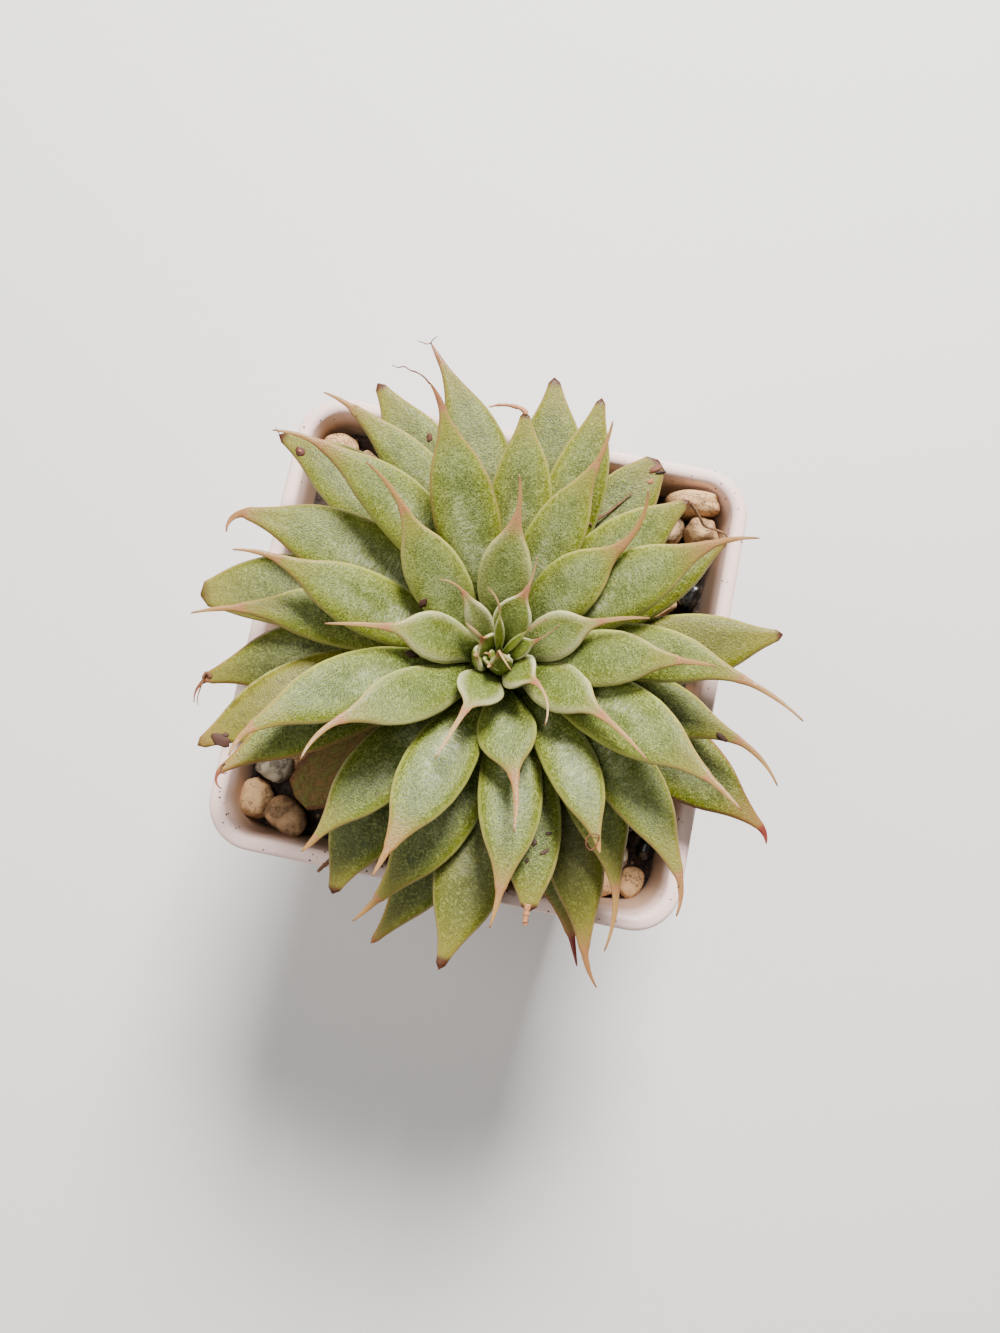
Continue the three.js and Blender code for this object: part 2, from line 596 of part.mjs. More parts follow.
const plant = new THREE.Group();
const looseStones = makeLooseStones();
plant.add(named("pot", makePot(), potPlastic));
plant.add(named("potting_soil", makeSoil(), soilMatter));
plant.add(named("gravel", makeGravel(looseStones), tanStone));
looseStones.forEach(({ name, solid, material }) => plant.add(named(name, toGeometry(solid), material)));
plant.add(named("rosette", makeRosette(), leafSkin));

export default plant;
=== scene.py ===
# %% [markdown]
# # A potted silver star graptoveria
# The object is a succulent rosette in a square white plastic pot of soil, dressed with small
# stones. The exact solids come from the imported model, and this lesson gives each of them its
# final surface. Lengths are in millimetres, and become metres when a mesh is made.

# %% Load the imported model
import math
from types import SimpleNamespace

import bpy
import numpy as np
from mathutils import Matrix


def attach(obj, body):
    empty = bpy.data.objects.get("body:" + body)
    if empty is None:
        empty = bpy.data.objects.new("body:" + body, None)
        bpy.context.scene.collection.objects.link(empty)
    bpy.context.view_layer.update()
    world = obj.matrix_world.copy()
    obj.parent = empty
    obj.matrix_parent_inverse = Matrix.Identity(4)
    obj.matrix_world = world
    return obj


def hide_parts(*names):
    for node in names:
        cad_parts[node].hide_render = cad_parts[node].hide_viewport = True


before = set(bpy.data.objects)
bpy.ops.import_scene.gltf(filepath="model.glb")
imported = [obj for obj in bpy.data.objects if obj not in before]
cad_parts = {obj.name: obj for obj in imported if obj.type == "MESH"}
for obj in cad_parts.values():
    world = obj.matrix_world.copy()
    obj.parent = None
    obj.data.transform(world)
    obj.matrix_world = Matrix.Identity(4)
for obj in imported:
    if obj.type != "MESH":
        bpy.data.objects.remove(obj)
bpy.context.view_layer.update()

# %% [markdown]
# ## Camera
# The photograph was taken from above, a little towards the front of the pot. Its place and
# direction were worked out from the pot's square rim, whose sides are known to be 70 mm.

# %% Camera
MM = 0.001
CAMERA_PLACE = (7.68, -20.83, 216.76)
CAMERA_LEFT_RIGHT = -0.33
CAMERA_PITCH = -7.81
CAMERA_TURN = -11.57
FOCAL_SHARE, SENSOR_WIDTH, NEAREST = 1000 / 1333, 36, 0.01


def turn_matrix(axis, degrees):
    """Rotation by an angle about x, y or z (0, 1 or 2), as a 3 by 3 array."""
    c, s = math.cos(math.radians(degrees)), math.sin(math.radians(degrees))
    b, a = (axis + 1) % 3, (axis + 2) % 3
    matrix = np.eye(3)
    matrix[b, b], matrix[b, a], matrix[a, b], matrix[a, a] = c, -s, s, c
    return matrix


def added(name, data):
    """A new object, linked to the scene."""
    made = bpy.data.objects.new(name, data)
    bpy.context.scene.collection.objects.link(made)
    return made


world_to_camera = (
    turn_matrix(0, CAMERA_PITCH) @ turn_matrix(1, CAMERA_LEFT_RIGHT) @ turn_matrix(2, CAMERA_TURN)
)
camera_data = bpy.data.cameras.new("camera")
camera_data.sensor_width = SENSOR_WIDTH
camera_data.lens = SENSOR_WIDTH * FOCAL_SHARE
camera_data.clip_start = NEAREST
camera = added("camera", camera_data)
placed = np.eye(4)
placed[:3, :3] = world_to_camera.T
placed[:3, 3] = np.array(CAMERA_PLACE) * MM
camera.matrix_world = Matrix(placed.tolist())
bpy.context.scene.camera = camera
print("camera at", CAMERA_PLACE)

# %% [markdown]
# ## A surface from a grid
# Leaves, pebbles, hairs and the pot are closed surfaces over a grid: one direction runs along the
# piece, the other once round it. A cap closes each end, so that no surface has a hole.

# %% Grid surfaces


def grid_faces(rings, around, looped=False):
    """Faces of a tube of rings: quads join neighbours, and a fan of triangles closes each end.
    In a looped tube the last ring joins the first instead."""
    i, j = np.meshgrid(np.arange(rings - (not looped)), np.arange(around), indexing="ij")
    k, n = (j + 1) % around, (i + 1) % rings
    quads = np.stack([i * around + j, i * around + k, n * around + k, n * around + j], -1)
    if looped:
        return quads.reshape(-1, 4), np.zeros((0, 3), int)
    side, shift = np.arange(around), (rings - 1) * around
    after, first = (side + 1) % around, 0 * side + rings * around
    start = np.stack([after, side, first], -1)
    end = np.stack([shift + side, shift + after, first + 1], -1)
    return quads.reshape(-1, 4), np.concatenate([start, end])


def tube(points, looped=False, **marks):
    """A closed tube from points[ring, side]. Unless it is looped, the means of the first and the
    last ring are added, to the marks too."""
    rings, around = points.shape[:2]
    quads, triangles = grid_faces(rings, around, looped)

    def listed(grid):
        grid = np.broadcast_to(grid, (rings, around) + np.shape(grid)[2:]).astype(float)
        ends = [] if looped else [np.stack([grid[0].mean(0), grid[-1].mean(0)])]
        return np.concatenate([grid.reshape(rings * around, *grid.shape[2:]), *ends])

    marks = {name: listed(mark) for name, mark in marks.items()}
    return dict(points=listed(points), quads=quads, triangles=triangles, marks=marks)


def make_piece(name, tubes, material, slot, replaces=()):
    """One mesh object from several tubes, in metres, with the tubes' marks as point attributes."""
    counts = np.cumsum([0] + [len(t["points"]) for t in tubes])
    points = np.concatenate([t["points"] for t in tubes]) * MM
    faces = []
    for kind in ("quads", "triangles"):
        for t, count in zip(tubes, counts):
            faces += (t[kind] + count).tolist()
    mesh = bpy.data.meshes.new(name)
    mesh.from_pydata(points.tolist(), [], faces, shade_flat=False)
    for mark in tubes[0]["marks"]:
        value = np.concatenate([t["marks"][mark] for t in tubes]).astype(np.float32)
        kind, field = ("FLOAT_VECTOR", "vector") if value.ndim == 2 else ("FLOAT", "value")
        mesh.attributes.new(mark, kind, "POINT").data.foreach_set(field, value.ravel())
    mesh.materials.append(material)
    piece = added(name, mesh)
    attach(piece, "root")
    if replaces:
        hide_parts(*replaces)
    print(name, len(points), "points", sum(map(len, faces)) - 2 * len(faces), "triangles")
    return piece


print("a tube of 3 rings of 8 points has", [len(faces) for faces in grid_faces(3, 8)], "faces")

# %% [markdown]
# ## Shader maths
# A material is a few colours laid over each other, each as strong as its mask. The first class
# below wraps a socket, so that masks add and multiply as numbers do, and each operation places its
# Math node. Colours are given as they show on a screen.

# %% Shader helpers


def tone(red, green, blue):
    """A colour given as it shows on a screen, 0 to 255, as the linear colour that shaders use."""
    value = np.array([red, green, blue]) / 255
    linear = np.where(value <= 0.04045, value / 12.92, ((value + 0.055) / 1.055) ** 2.4)
    return (*map(float, linear), 1.0)


def maths(operation, swapped=False):
    """A method that places a Math node for a mask and what it is combined with."""

    def place_node(mask, *others):
        values = [*others, mask] if swapped else [mask, *others]
        return mask.finish.node("Math", values, operation=operation)

    return place_node


class Mask:
    """A value that changes over a surface. Operators on it add Math nodes to its finish."""

    __add__ = __radd__ = maths("ADD")
    __mul__ = __rmul__ = maths("MULTIPLY")
    __sub__, __rsub__ = maths("SUBTRACT"), maths("SUBTRACT", swapped=True)
    __abs__ = maths("ABSOLUTE")

    def __init__(self, finish, socket):
        self.finish, self.socket = finish, socket

    def step(self, low, high):
        """0 below low and 1 above high, with a smooth rise between. Low may lie above high."""
        inputs = {"Value": self, "From Min": low, "From Max": high}
        return self.finish.node("MapRange", inputs, interpolation_type="SMOOTHSTEP")


class Finish:
    """A procedural material: nodes are added by kind, with values or masks for their inputs."""

    def __init__(self, name):
        self.material = bpy.data.materials.new(name)
        self.material.use_nodes = True
        self.tree, self.colour = self.material.node_tree, None

    def node(self, kind, inputs=(), output=0, **settings):
        """Add a node and feed its inputs, which are named, or listed in order. The result is the
        mask of one output."""
        made = self.tree.nodes.new("ShaderNode" + kind)
        for key, value in settings.items():
            setattr(made, key, value)
        for key, value in inputs.items() if isinstance(inputs, dict) else enumerate(inputs):
            self.feed(made.inputs[key], value)
        return Mask(self, made.outputs[output])

    def feed(self, socket, value):
        """Link a mask to a socket, or set its value, which for a colour is its screen tone."""
        if isinstance(value, Mask):
            self.tree.links.new(value.socket, socket)
        else:
            socket.default_value = tone(*value) if socket.type == "RGBA" else value

    def mark(self, name, output="Fac"):
        return self.node("Attribute", output=output, attribute_name=name)

    def marks(self, name):
        return self.parts(self.mark(name, "Vector"))

    def place(self):
        return self.node("TexCoord", output="Object")

    def scaled(self, vector, scale):
        return self.node("VectorMath", [vector, scale], operation="MULTIPLY")

    def noise(self, vector, scale, detail=2, rough=0.5):
        inputs = {"Vector": vector, "Scale": scale, "Detail": detail, "Roughness": rough}
        return self.node("TexNoise", inputs, "Fac")

    def cells(self, vector, scale, output="Distance", scatter=1):
        inputs = {"Vector": vector, "Scale": scale, "Randomness": scatter}
        return self.node("TexVoronoi", inputs, output)

    def mix(self, share, first, second):
        """A colour between two others: the mix node's colour sockets are its 7th and 8th."""
        return self.node("Mix", {0: share, 6: first, 7: second}, 2, data_type="RGBA")

    def lay(self, share, colour):
        """Lay a colour over those laid so far. A share of 0 hides it and 1 shows it alone."""
        self.colour = self.mix(share, self.colour, colour)

    def parts(self, vector):
        """The three numbers of a vector, each as a mask."""
        return [self.node("SeparateXYZ", [vector], i) for i in range(3)]

    def bump(self, height, distance, strength=1):
        inputs = {"Height": height, "Distance": distance, "Strength": strength}
        return self.node("Bump", inputs)

    def tell(self, stage):
        print(self.material.name, stage, len(self.tree.nodes), "nodes")

    def done(self, **sockets):
        """Feed the laid colour and other sockets, with _ for each space in their names."""
        shader = self.tree.nodes["Principled BSDF"]
        for name, value in {"Base_Color": self.colour, **sockets}.items():
            self.feed(shader.inputs[name.replace("_", " ")], value)
        return self.material


print("mid grey is", tone(128, 128, 128)[0], "to a shader")

# %% [markdown]
# ## How the leaves grow
# The leaves follow one growth spiral: each stands about 137.5 degrees on from the one before.
# Young leaves stand up in the heart, old ones lie out. The rule gives slope, height and width
# from a leaf's number, and the table gives how this plant's leaves depart from the rule.

# %% Growth rule
FIRST_LEAF, LAST_LEAF = -12, 57
GOLDEN_ANGLE, SPIRAL_START = 137.508, 265.6
STEM_FOOT, STEM_TIP = np.array([2.3, -1.2, 46]), np.array([3.0, -2.3, 87])
STEM_RADIUS, CROWN_BOTTOM, CROWN_HEIGHT = 4.5, 67, 19
LEAF_WIDTH, LEAF_DEPTH = 11.6, 4.2

# Number, turn and reach of the tip, sweep, share of the rule's width, length and curl of the
# tail. A tail of 0 is a tip that has dried off.
GROWN_FIELDS = ("n", "turn", "reach", "sweep", "wide", "tail", "curl")
GROWN_LEAVES = [
    (1, -16, 12.5, -10, 1, 7.5, -20),
    (2, -1, 13.5, 15, 1, 9, 10),
    (3, 21, 14.5, -15, 1, 9.5, -15),
    (4, -2, 16.5, -15, 1, 6, 25),
    (5, -16, 20.5, -5, 1, 8, 50),
    (6, -4, 21.5, -5, 1, 5.5, -10),
    (7, -12, 20.5, -20, 1, 8.5, 30),
    (8, 3, 15.5, 5, 1, 8, -20),
    (9, -11, 20, -15, 1, 9, 60),
    (10, 10, 30.5, 25, 1, 5, 45),
    (11, 1, 29, -20, 1.05, 6.5, -10),
    (12, -1, 30.5, 0, 1, 4, 25),
    (13, 0, 27.5, 0, 1, 4.5, 0),
    (14, 7, 29, -10, 1, 7, -30),
    (15, 1, 29.5, -5, 0.92, 6.5, 30),
    (16, 3, 27, -30, 0.77, 1.5, 0),
    (17, -9, 27, -10, 0.83, 7, 20),
    (18, -5, 37, 20, 0.86, 3, 120),
    (19, 7, 30.5, -35, 0.8, 10, -25),
    (20, 6, 35, 38, 0.86, 7, 30),
    (21, 9, 29.5, -20, 0.88, 5.5, -10),
    (22, -0.5, 32.4, -15, 0.88, 0, 0),
    (23, -7, 33.5, 20, 0.83, 7, 15),
    (24, -5, 35.5, -38, 0.84, 6, -45),
    (25, -8, 33.5, 10, 0.86, 0, 0),
    (26, -4, 33, 10, 0.88, 3, -10),
    (28, 6, 38.5, 35, 1, 4.5, 110),
    (29, -5, 33.5, -22, 0.82, 0, 0),
    (30, 9, 38.6, 15, 0.82, 0, 0),
    (31, 0, 41.2, 30, 1, 0, 0),
    (32, 7, 33, -15, 0.8, 9, -45),
    (33, 8, 40, 40, 0.72, 5, 20),
    (34, -5.5, 35, -30, 0.88, 5, -10),
    (35, 1, 36, 5, 0.78, 0, 0),
    (36, 3.5, 41.7, 45, 1, 0, 0),
    (37, -4, 33.5, -42, 0.8, 9.5, -30),
    (38, -0.5, 41.4, 20, 1, 0, 0),
    (40, 11, 39.7, 5, 0.92, 0, 0),
    (41, 2, 45, 35, 1, 0, 0),
    (42, -10, 41.5, -20, 1, 0.8, 0),
    (43, 5, 37.5, -5, 0.93, 0, 0),
    (44, -1.5, 40.3, 30, 1, 4.5, 80),
    (45, 6, 42, -22, 1, 3, -50),
    (46, 1, 44.5, 32, 0.87, 4, 0),
    (47, -2.5, 39.2, 28, 1, 0, 0),
    (50, -2.5, 40.5, -30, 0.82, 6, 30),
    (54, -6.5, 46, 20, 1, 0, 0),
    (55, -11, 41.8, -35, 0.82, 1, 0),
]

HEART_FIELDS = ("n", "turn", "length", "base", "tip", "wide", "sweep", "tail", "curl", "droop")
HEART_LEAVES = [
    (-12, -8, 7, 70, 35, 1.2, 0, 3.5, -20, 0),
    (-11, 0, 4, 86, 70, 1, 0, 3, 30, -20),
    (-10, 0, 4.5, 86, 75, 1, 0, 3, -30, -20),
    (-9, -8, 8, 82, 35, 0.55, 0, 4, 60, 0),
    (-8, 0, 5, 86, 70, 1, 0, 3, 20, -20),
    (-7, 4, 7.8, 78, 44, 0.75, 0, 4.5, 25, 0),
    (-6, -8, 6.5, 82, 72, 0.95, 0, 3.6, 0, -60),
    (-5, -4, 7.5, 86, 112, 0.75, 0, 5.5, 25, -140),
    (-4, 1, 11, 75, 30, 1.1, -12, 5, 25, 0),
    (-3, -15, 6, 76, 84, 0.7, 0, 2, -20, -70),
    (-2, -20, 9.5, 85, 45, 1, 0, 7.5, -70, -30),
    (-1, 5, 12, 82, 36, 0.62, 0, 4.5, 70, 0),
    (0, -12.5, 11.3, 77, 39, 1.06, 0, 9, 0, -15),
]


def leaf_age(n):
    """0 for the youngest leaf and 1 for the last on the spiral."""
    return (n - FIRST_LEAF) / (LAST_LEAF - FIRST_LEAF)


def leaf_slopes(leaf):
    """Slopes at a leaf's base and tip, in degrees. The rule for a leaf of age t is
    16 + 66 (1 - t)^2 at the base and 3 + 40 (1 - t)^2.2 at the tip."""
    young = max(0, 1 - leaf_age(leaf["n"]))
    return leaf.get("base", 16 + 66 * young**2), leaf.get("tip", 3 + 40 * young**2.2)


def base_height(n):
    return CROWN_BOTTOM + (1 - leaf_age(n)) * CROWN_HEIGHT


def base_radius(n):
    """How far from the stem's axis a leaf starts: it stays inside the stem."""
    return min(STEM_RADIUS - 1, 0.3 + 11 * leaf_age(n))


def leaf_width(n):
    """Full width of a blade: it grows with the leaf's number and levels off at LEAF_WIDTH."""
    return LEAF_WIDTH * (1 - math.exp(-(n + 13.5) / 18))


LEAVES = [dict(zip(GROWN_FIELDS, row)) for row in GROWN_LEAVES]
LEAVES += [dict(zip(HEART_FIELDS, row)) for row in HEART_LEAVES]
LEAVES += [
    # the withered leaf low in the pot, and an old leaf under the others
    dict(n=39, turn=-5, reach=35.3, sweep=0, wide=0.95, tail=0, cut=0.88, depth=1.4,
         height=68.4, base=0, tip=0),
    dict(n=63, turn=8.2, reach=38.5, sweep=-10, wide=0.8, tail=5, curl=0, depth=3,
         height=69.5, base=8, tip=2),
]
print(len(LEAVES), "leaves, up to", round(leaf_width(LAST_LEAF), 1), "mm wide")

# %% [markdown]
# ## The surface of one leaf
# A leaf's centre line turns and bends evenly as it goes out. Across it, a ring has a low crown
# above, a round margin on each side and a keel below. The blade narrows into a thread-like tail.
# A subdivided box could do this too, but a grid keeps exact marks.

# %% Centre line of a leaf
BLADE_AT = [0, 0.15, 0.3, 0.44, 0.58, 0.7, 0.81, 0.91, 1]
BLADE_WIDE = [0.4, 0.5, 0.73, 0.94, 1, 0.93, 0.71, 0.33, 0.1]
BLADE_DEEP = [0.7, 0.9, 1, 1, 0.92, 0.8, 0.6, 0.38, 0.2]
BLADE_RINGS, TAIL_RINGS, LEAF_AROUND, LINE_STEPS = 56, 14, 48, 200


def unit(vectors):
    return vectors / np.linalg.norm(vectors, axis=-1, keepdims=True)


def direction(heading, slope):
    """Unit vectors with a heading in the level plane and a slope above it, both in degrees."""
    h, s = np.radians(heading), np.radians(slope)
    return np.stack([np.cos(s) * np.cos(h), np.cos(s) * np.sin(h), np.sin(s)], -1)


def stem_at(z):
    """The point of the stem's leaning axis at a height."""
    return STEM_FOOT + (STEM_TIP - STEM_FOOT) * (z - STEM_FOOT[2]) / (STEM_TIP[2] - STEM_FOOT[2])


def centre_line(leaf):
    """Points, headings, slopes and places along a leaf, 0 to 1 on the blade and 1 to 2 on the
    tail. The blade is as long as brings its tip to the leaf's reach from the stem's axis."""
    first, last = leaf_slopes(leaf)
    sweep, curl, droop = (leaf.get(key, 0) for key in ("sweep", "curl", "droop"))

    def angles(at):
        """Turn from the first heading, and slope, at places along the leaf."""
        blade, tail = np.minimum(at, 1), np.clip(at - 1, 0, 1)
        return sweep * blade + curl * tail, first + (last - first) * blade + droop * tail

    walked = direction(*angles((np.arange(LINE_STEPS) + 0.5) / LINE_STEPS))
    walked = np.vstack([np.zeros(3), np.cumsum(walked, 0) / LINE_STEPS])
    root, (ex, ey) = base_radius(leaf["n"]), walked[-1, :2]
    length = leaf.get("length")
    if length is None:
        square = ex * ex + ey * ey
        inside = (root * ex) ** 2 + square * (leaf["reach"] ** 2 - root**2)
        length = (math.sqrt(inside) - root * ex) / square
    bearing = SPIRAL_START + GOLDEN_ANGLE * leaf["n"] + leaf["turn"]
    heading = bearing - math.degrees(math.atan2(length * ey, root + length * ex))
    at, walked_at = np.linspace(0, 1, BLADE_RINGS), np.linspace(0, 1, LINE_STEPS + 1)
    flat = np.stack([np.interp(at, walked_at, walked[:, i]) for i in range(3)], -1)
    points = (flat * length + [root, 0, 0]) @ turn_matrix(2, heading).T
    points += stem_at(leaf.get("height", base_height(leaf["n"])))
    turned, slopes = angles(at)
    if leaf["tail"]:
        tail_turned, tail_slopes = angles(1 + (np.arange(TAIL_RINGS) + 0.5) / TAIL_RINGS)
        ahead = direction(heading + tail_turned, tail_slopes) * leaf["tail"] / TAIL_RINGS
        points = np.vstack([points, points[-1] + np.cumsum(ahead, 0)])
        turned, slopes = np.r_[turned, tail_turned], np.r_[slopes, tail_slopes]
        at = np.r_[at, 1 + (np.arange(TAIL_RINGS) + 1) / TAIL_RINGS]
    return points, heading + turned, slopes, at


print("the blade of leaf 12 ends at", centre_line(LEAVES[11])[0][BLADE_RINGS - 1].round(1))

# %% Width and depth of a leaf
BELL_SPREAD, BELL_STEP, BELL_REACH = 0.025, 0.0025, 60
TAIL_WIDE, NECK_WIDE, NECK_REACH, TIP_DOME = 0.13, 0.3, 0.14, 0.6


def smoothed(at, stations, values):
    """Values joined by straight lines, then averaged over a short bell-shaped window."""
    fine = np.linspace(-0.25, 1.25, 601)
    reach = np.arange(-BELL_REACH, BELL_REACH + 1)
    window = np.exp(-0.5 * (reach * BELL_STEP / BELL_SPREAD) ** 2)
    line = np.pad(np.interp(fine, stations, values), BELL_REACH, mode="edge")
    return np.interp(at, fine, np.convolve(line, window / window.sum(), mode="valid"))


def leaf_form(leaf):
    """A leaf's centre line, the way travelled along it, and the half width and depth of its
    rings. The blade has the share in BLADE_WIDE of its width, and at least that of the broad
    base. The tail tapers as (1 - t)^1.3, a neck of 0.3 exp(-((place - 1) / 0.14)^2) mm leads
    into it, and a small dome ends every leaf."""
    points, headings, slopes, at = centre_line(leaf)
    n, blade, tail = leaf["n"], np.minimum(at, 1), np.clip(at - 1, 0, 1)
    half = leaf["wide"] * leaf_width(n) / 2
    depth = leaf.get("depth", max(0.9, LEAF_DEPTH * leaf_width(n) / LEAF_WIDTH))
    base_share = 0.9 - 0.5 * min(1, 3.4 * leaf_age(n))
    wide = smoothed(blade * leaf.get("cut", 1), BLADE_AT, BLADE_WIDE)
    share = np.maximum(wide, (1 - blade) * base_share)
    taper = (1 - tail) ** 1.3
    fine = 1 - (1 - leaf.get("fine", 1)) * np.clip(tail * 3, 0, 1)
    neck = NECK_WIDE * np.exp(-(((at - 1) / NECK_REACH) ** 2))
    neck = neck * (leaf["tail"] > 4) * min(1, leaf_age(n) * 4)
    half_width = (half * share * taper + TAIL_WIDE * np.clip(tail * 2, 0, 1)) * fine + neck
    high = depth * smoothed(blade, BLADE_AT, BLADE_DEEP) * taper
    travel = np.cumsum(np.r_[0, np.linalg.norm(np.diff(points, axis=0), axis=1)])
    left = travel[-1] - travel
    dome = np.sqrt(np.clip(1 - (1 - np.minimum(left / TIP_DOME, 1)) ** 2, 0.02, 1))
    half_width, high = np.maximum(0.08, half_width * dome), np.maximum(0.16, high * dome)
    return SimpleNamespace(points=points, headings=headings, slopes=slopes, at=at, travel=travel,
                           half_width=half_width, high=high)


print("leaf 12 is", round(2 * leaf_form(LEAVES[11]).half_width.max(), 1), "mm wide")

# %% Surface and marks of a leaf
LEAF_ANGLE = np.arange(LEAF_AROUND) / LEAF_AROUND * 2 * np.pi
CROWN_SHARE, KEEL_SHARE, DENT_SHARE, ROUND_MARGIN = 0.32, 0.68, 0.14, 0.6
ROLL_SPREAD = 3.5


def leaf_surface(leaf, form):
    """Points of a leaf. Across it, x = cos a. The top is 0.32 (1 - x^4)^0.6 of the depth, less a
    dent of 0.14 (1 - x^2)^2 in young leaves, and the underside 0.68 (1 - |x|^2.4)^0.6. Slow
    waves of about 0.1 mm lie over both, and the leaf rolls a little about its centre line."""
    n, at, x = leaf["n"], form.at[:, None], np.cos(LEAF_ANGLE)
    dent = DENT_SHARE * np.clip(1 - leaf_age(n) * 3, 0, 1) * (1 - x * x) ** 2
    upper = CROWN_SHARE * (1 - x**4) ** ROUND_MARGIN - dent
    lower = -KEEL_SHARE * (1 - np.abs(x) ** 2.4) ** ROUND_MARGIN
    section = np.where(np.sin(LEAF_ANGLE) >= 0, upper, lower)
    pick = np.random.default_rng(300 + n)
    tilt = np.radians(pick.normal(0, ROLL_SPREAD)) * np.sin(np.pi * np.clip(at, 0, 1))
    phase = pick.random(4) * 6.28
    wave = 0.09 * (np.sin(at * 7 + phase[0]) + 0.6 * np.sin(at * 15 + phase[1])) * x**3
    wave += 0.07 * np.sin(at * 11 + phase[2]) * np.sin(3 * x + phase[3])
    wave *= np.minimum(1, form.half_width[:, None] / 3) * (at > 0)
    level = direction(form.headings + 90, 0 * form.headings)
    up = np.cross(direction(form.headings, form.slopes), level)
    aside = (level * np.cos(tilt) + up * np.sin(tilt))[:, None]
    above = (up * np.cos(tilt) - level * np.sin(tilt))[:, None]
    aside = aside * (form.half_width[:, None] * x)[..., None]
    above = above * (form.high[:, None] * section + wave)[..., None]
    return form.points[:, None] + aside + above


def leaf_tube(leaf):
    """One closed leaf with its marks: blade (place along it, side, distance to the margin), skin
    (place on the skin in millimetres), life (age, dryness, a tint of its own), shine (a weight for
    painted sheen and painted shade, more of it on leaves that point to the front, that also sets
    the bloom) and blush (how yellow, brown and red it has turned)."""
    form = leaf_form(leaf)
    n, x, flat = leaf["n"], np.cos(LEAF_ANGLE), np.zeros((len(form.at), LEAF_AROUND))
    dry = leaf.get("dry", leaf["tail"] == 0)
    tint = np.random.default_rng(40 + n).random()
    half_width = form.half_width[:, None]
    # Weight of the painted sheen and painted shade, from the leaf's heading.
    shine = 0.55 - 0.22 * math.sin(math.radians(form.headings[BLADE_RINGS // 2]))

    def mark(*values):
        return np.stack([flat + value for value in values], -1)

    return tube(
        leaf_surface(leaf, form),
        blade=mark(form.at[:, None], np.sin(LEAF_ANGLE), half_width * (1 - np.abs(x))),
        skin=mark(half_width * x, form.travel[:, None], n * 40),
        life=mark(leaf_age(n), dry, tint),
        shine=flat + shine,
        blush=mark(*(leaf.get(turned, 0) for turned in ("yellow", "brown", "red"))),
    )


print("a leaf has", len(leaf_tube(LEAVES[11])["points"]), "points")

# %% [markdown]
# ## The leaf's skin
# The skin could be painted on an image, but masks made from the leaf's marks keep their size on
# every leaf. This step reads the marks and makes the patterns that the others share.

# %% Marks and patterns
skin = Finish("silver_star_skin")
along, side, edge = skin.marks("blade")
age, dry, tint = skin.marks("life")
yellow, brown, red = skin.marks("blush")
# Weight of the painted sheen and painted shade on each leaf.
shine = skin.mark("shine")
skin_place = skin.mark("skin", "Vector")
across = skin.parts(skin_place)[0]
streaks = skin.noise(skin.scaled(skin_place, (0.7, 3, 1)), 1, 3, 0.65)
clouds = skin.noise(skin.scaled(skin_place, (0.25, 0.2, 1)), 1, 3, 0.5)
mottle = skin.noise(skin.scaled(skin_place, (0.9, 0.7, 1)), 1, 4, 0.65)
grain_place = skin.scaled(skin_place, (4.4, 3.8, 1))
dots = skin.cells(grain_place, 1, scatter=0.75)
fleck = skin.parts(skin.cells(grain_place, 1, "Color", 0.75))[0]
heart = age.step(0.32, 0.06)
grown = age.step(-0.05, 0.14)
skin.tell("marks and patterns:")

# %% [markdown]
# ## Greens
# A leaf's base is dark with painted shade from the leaves above, and its face is yellow green;
# young leaves are paler. A painted glow stands for light coming through the thin strip beside the
# margin.

# %% Greens
# Painted shade: each leaf is darkest at its base, under the leaves above, and lighter out along it.
shade = skin.mix(age.step(0, 0.9), (60, 74, 10), (42, 50, 2))
young_face = skin.mix(age.step(0, 0.16), (122, 136, 40), (104, 116, 40))
face = skin.mix(age.step(0.12, 0.9), young_face, (88, 90, 6))
lit = along.step(0.08, 0.6) * (0.5 + 0.5 * clouds.step(0.3, 0.6))
skin.colour = skin.mix(lit, shade, face)
# A painted glow beside the margin stands for light coming through it.
glow = edge.step(3.2, 0.6) * along.step(0.1, 0.4) * side.step(-0.2, 0.4) * age.step(0.04, 0.22)
skin.lay(glow * 0.4, (124, 128, 10))
skin.tell("greens:")

# %% [markdown]
# ## Bloom, painted sheen and stipple
# Wax makes the upper face silvery with a cloudy bloom. A painted sheen, a painted highlight, lies
# on the crown of leaves that point to the front, and painted shade darkens those leaves a little.
# Young leaves that point to the back get more bloom as painted light. The dots and flecks of the
# stipple lie over it.

# %% Bloom, painted sheen and stipple
whole = along.step(0.15, 0.45) * side.step(0.5, 1) * along.step(1, 0.75)
bloom = whole * (0.6 + 0.4 * streaks.step(0.4, 0.62)) * (0.3 + 0.7 * clouds.step(0.35, 0.65))
# The bloom is wax; its extra strength on young leaves that point to the back is painted light.
silver = 0.28 + 0.26 * age.step(0.45, 0.3) * shine.step(0.65, 0.4)
skin.lay(bloom * silver * age.step(0.04, 0.16), (142, 150, 106))
# Painted sheen: a painted highlight on the crown of the blade, weighted by shine.
crown = (edge - 1.5 * abs(across)).step(-1, 2.2) * along.step(0.2, 0.45) * along.step(0.82, 0.5)
sheen = crown * side.step(0.3, 0.9) * clouds.step(0.38, 0.6) * age.step(0.24, 0.38) * shine
skin.lay(sheen * (0.2 + 0.8 * streaks.step(0.45, 0.6)), (202, 204, 166))
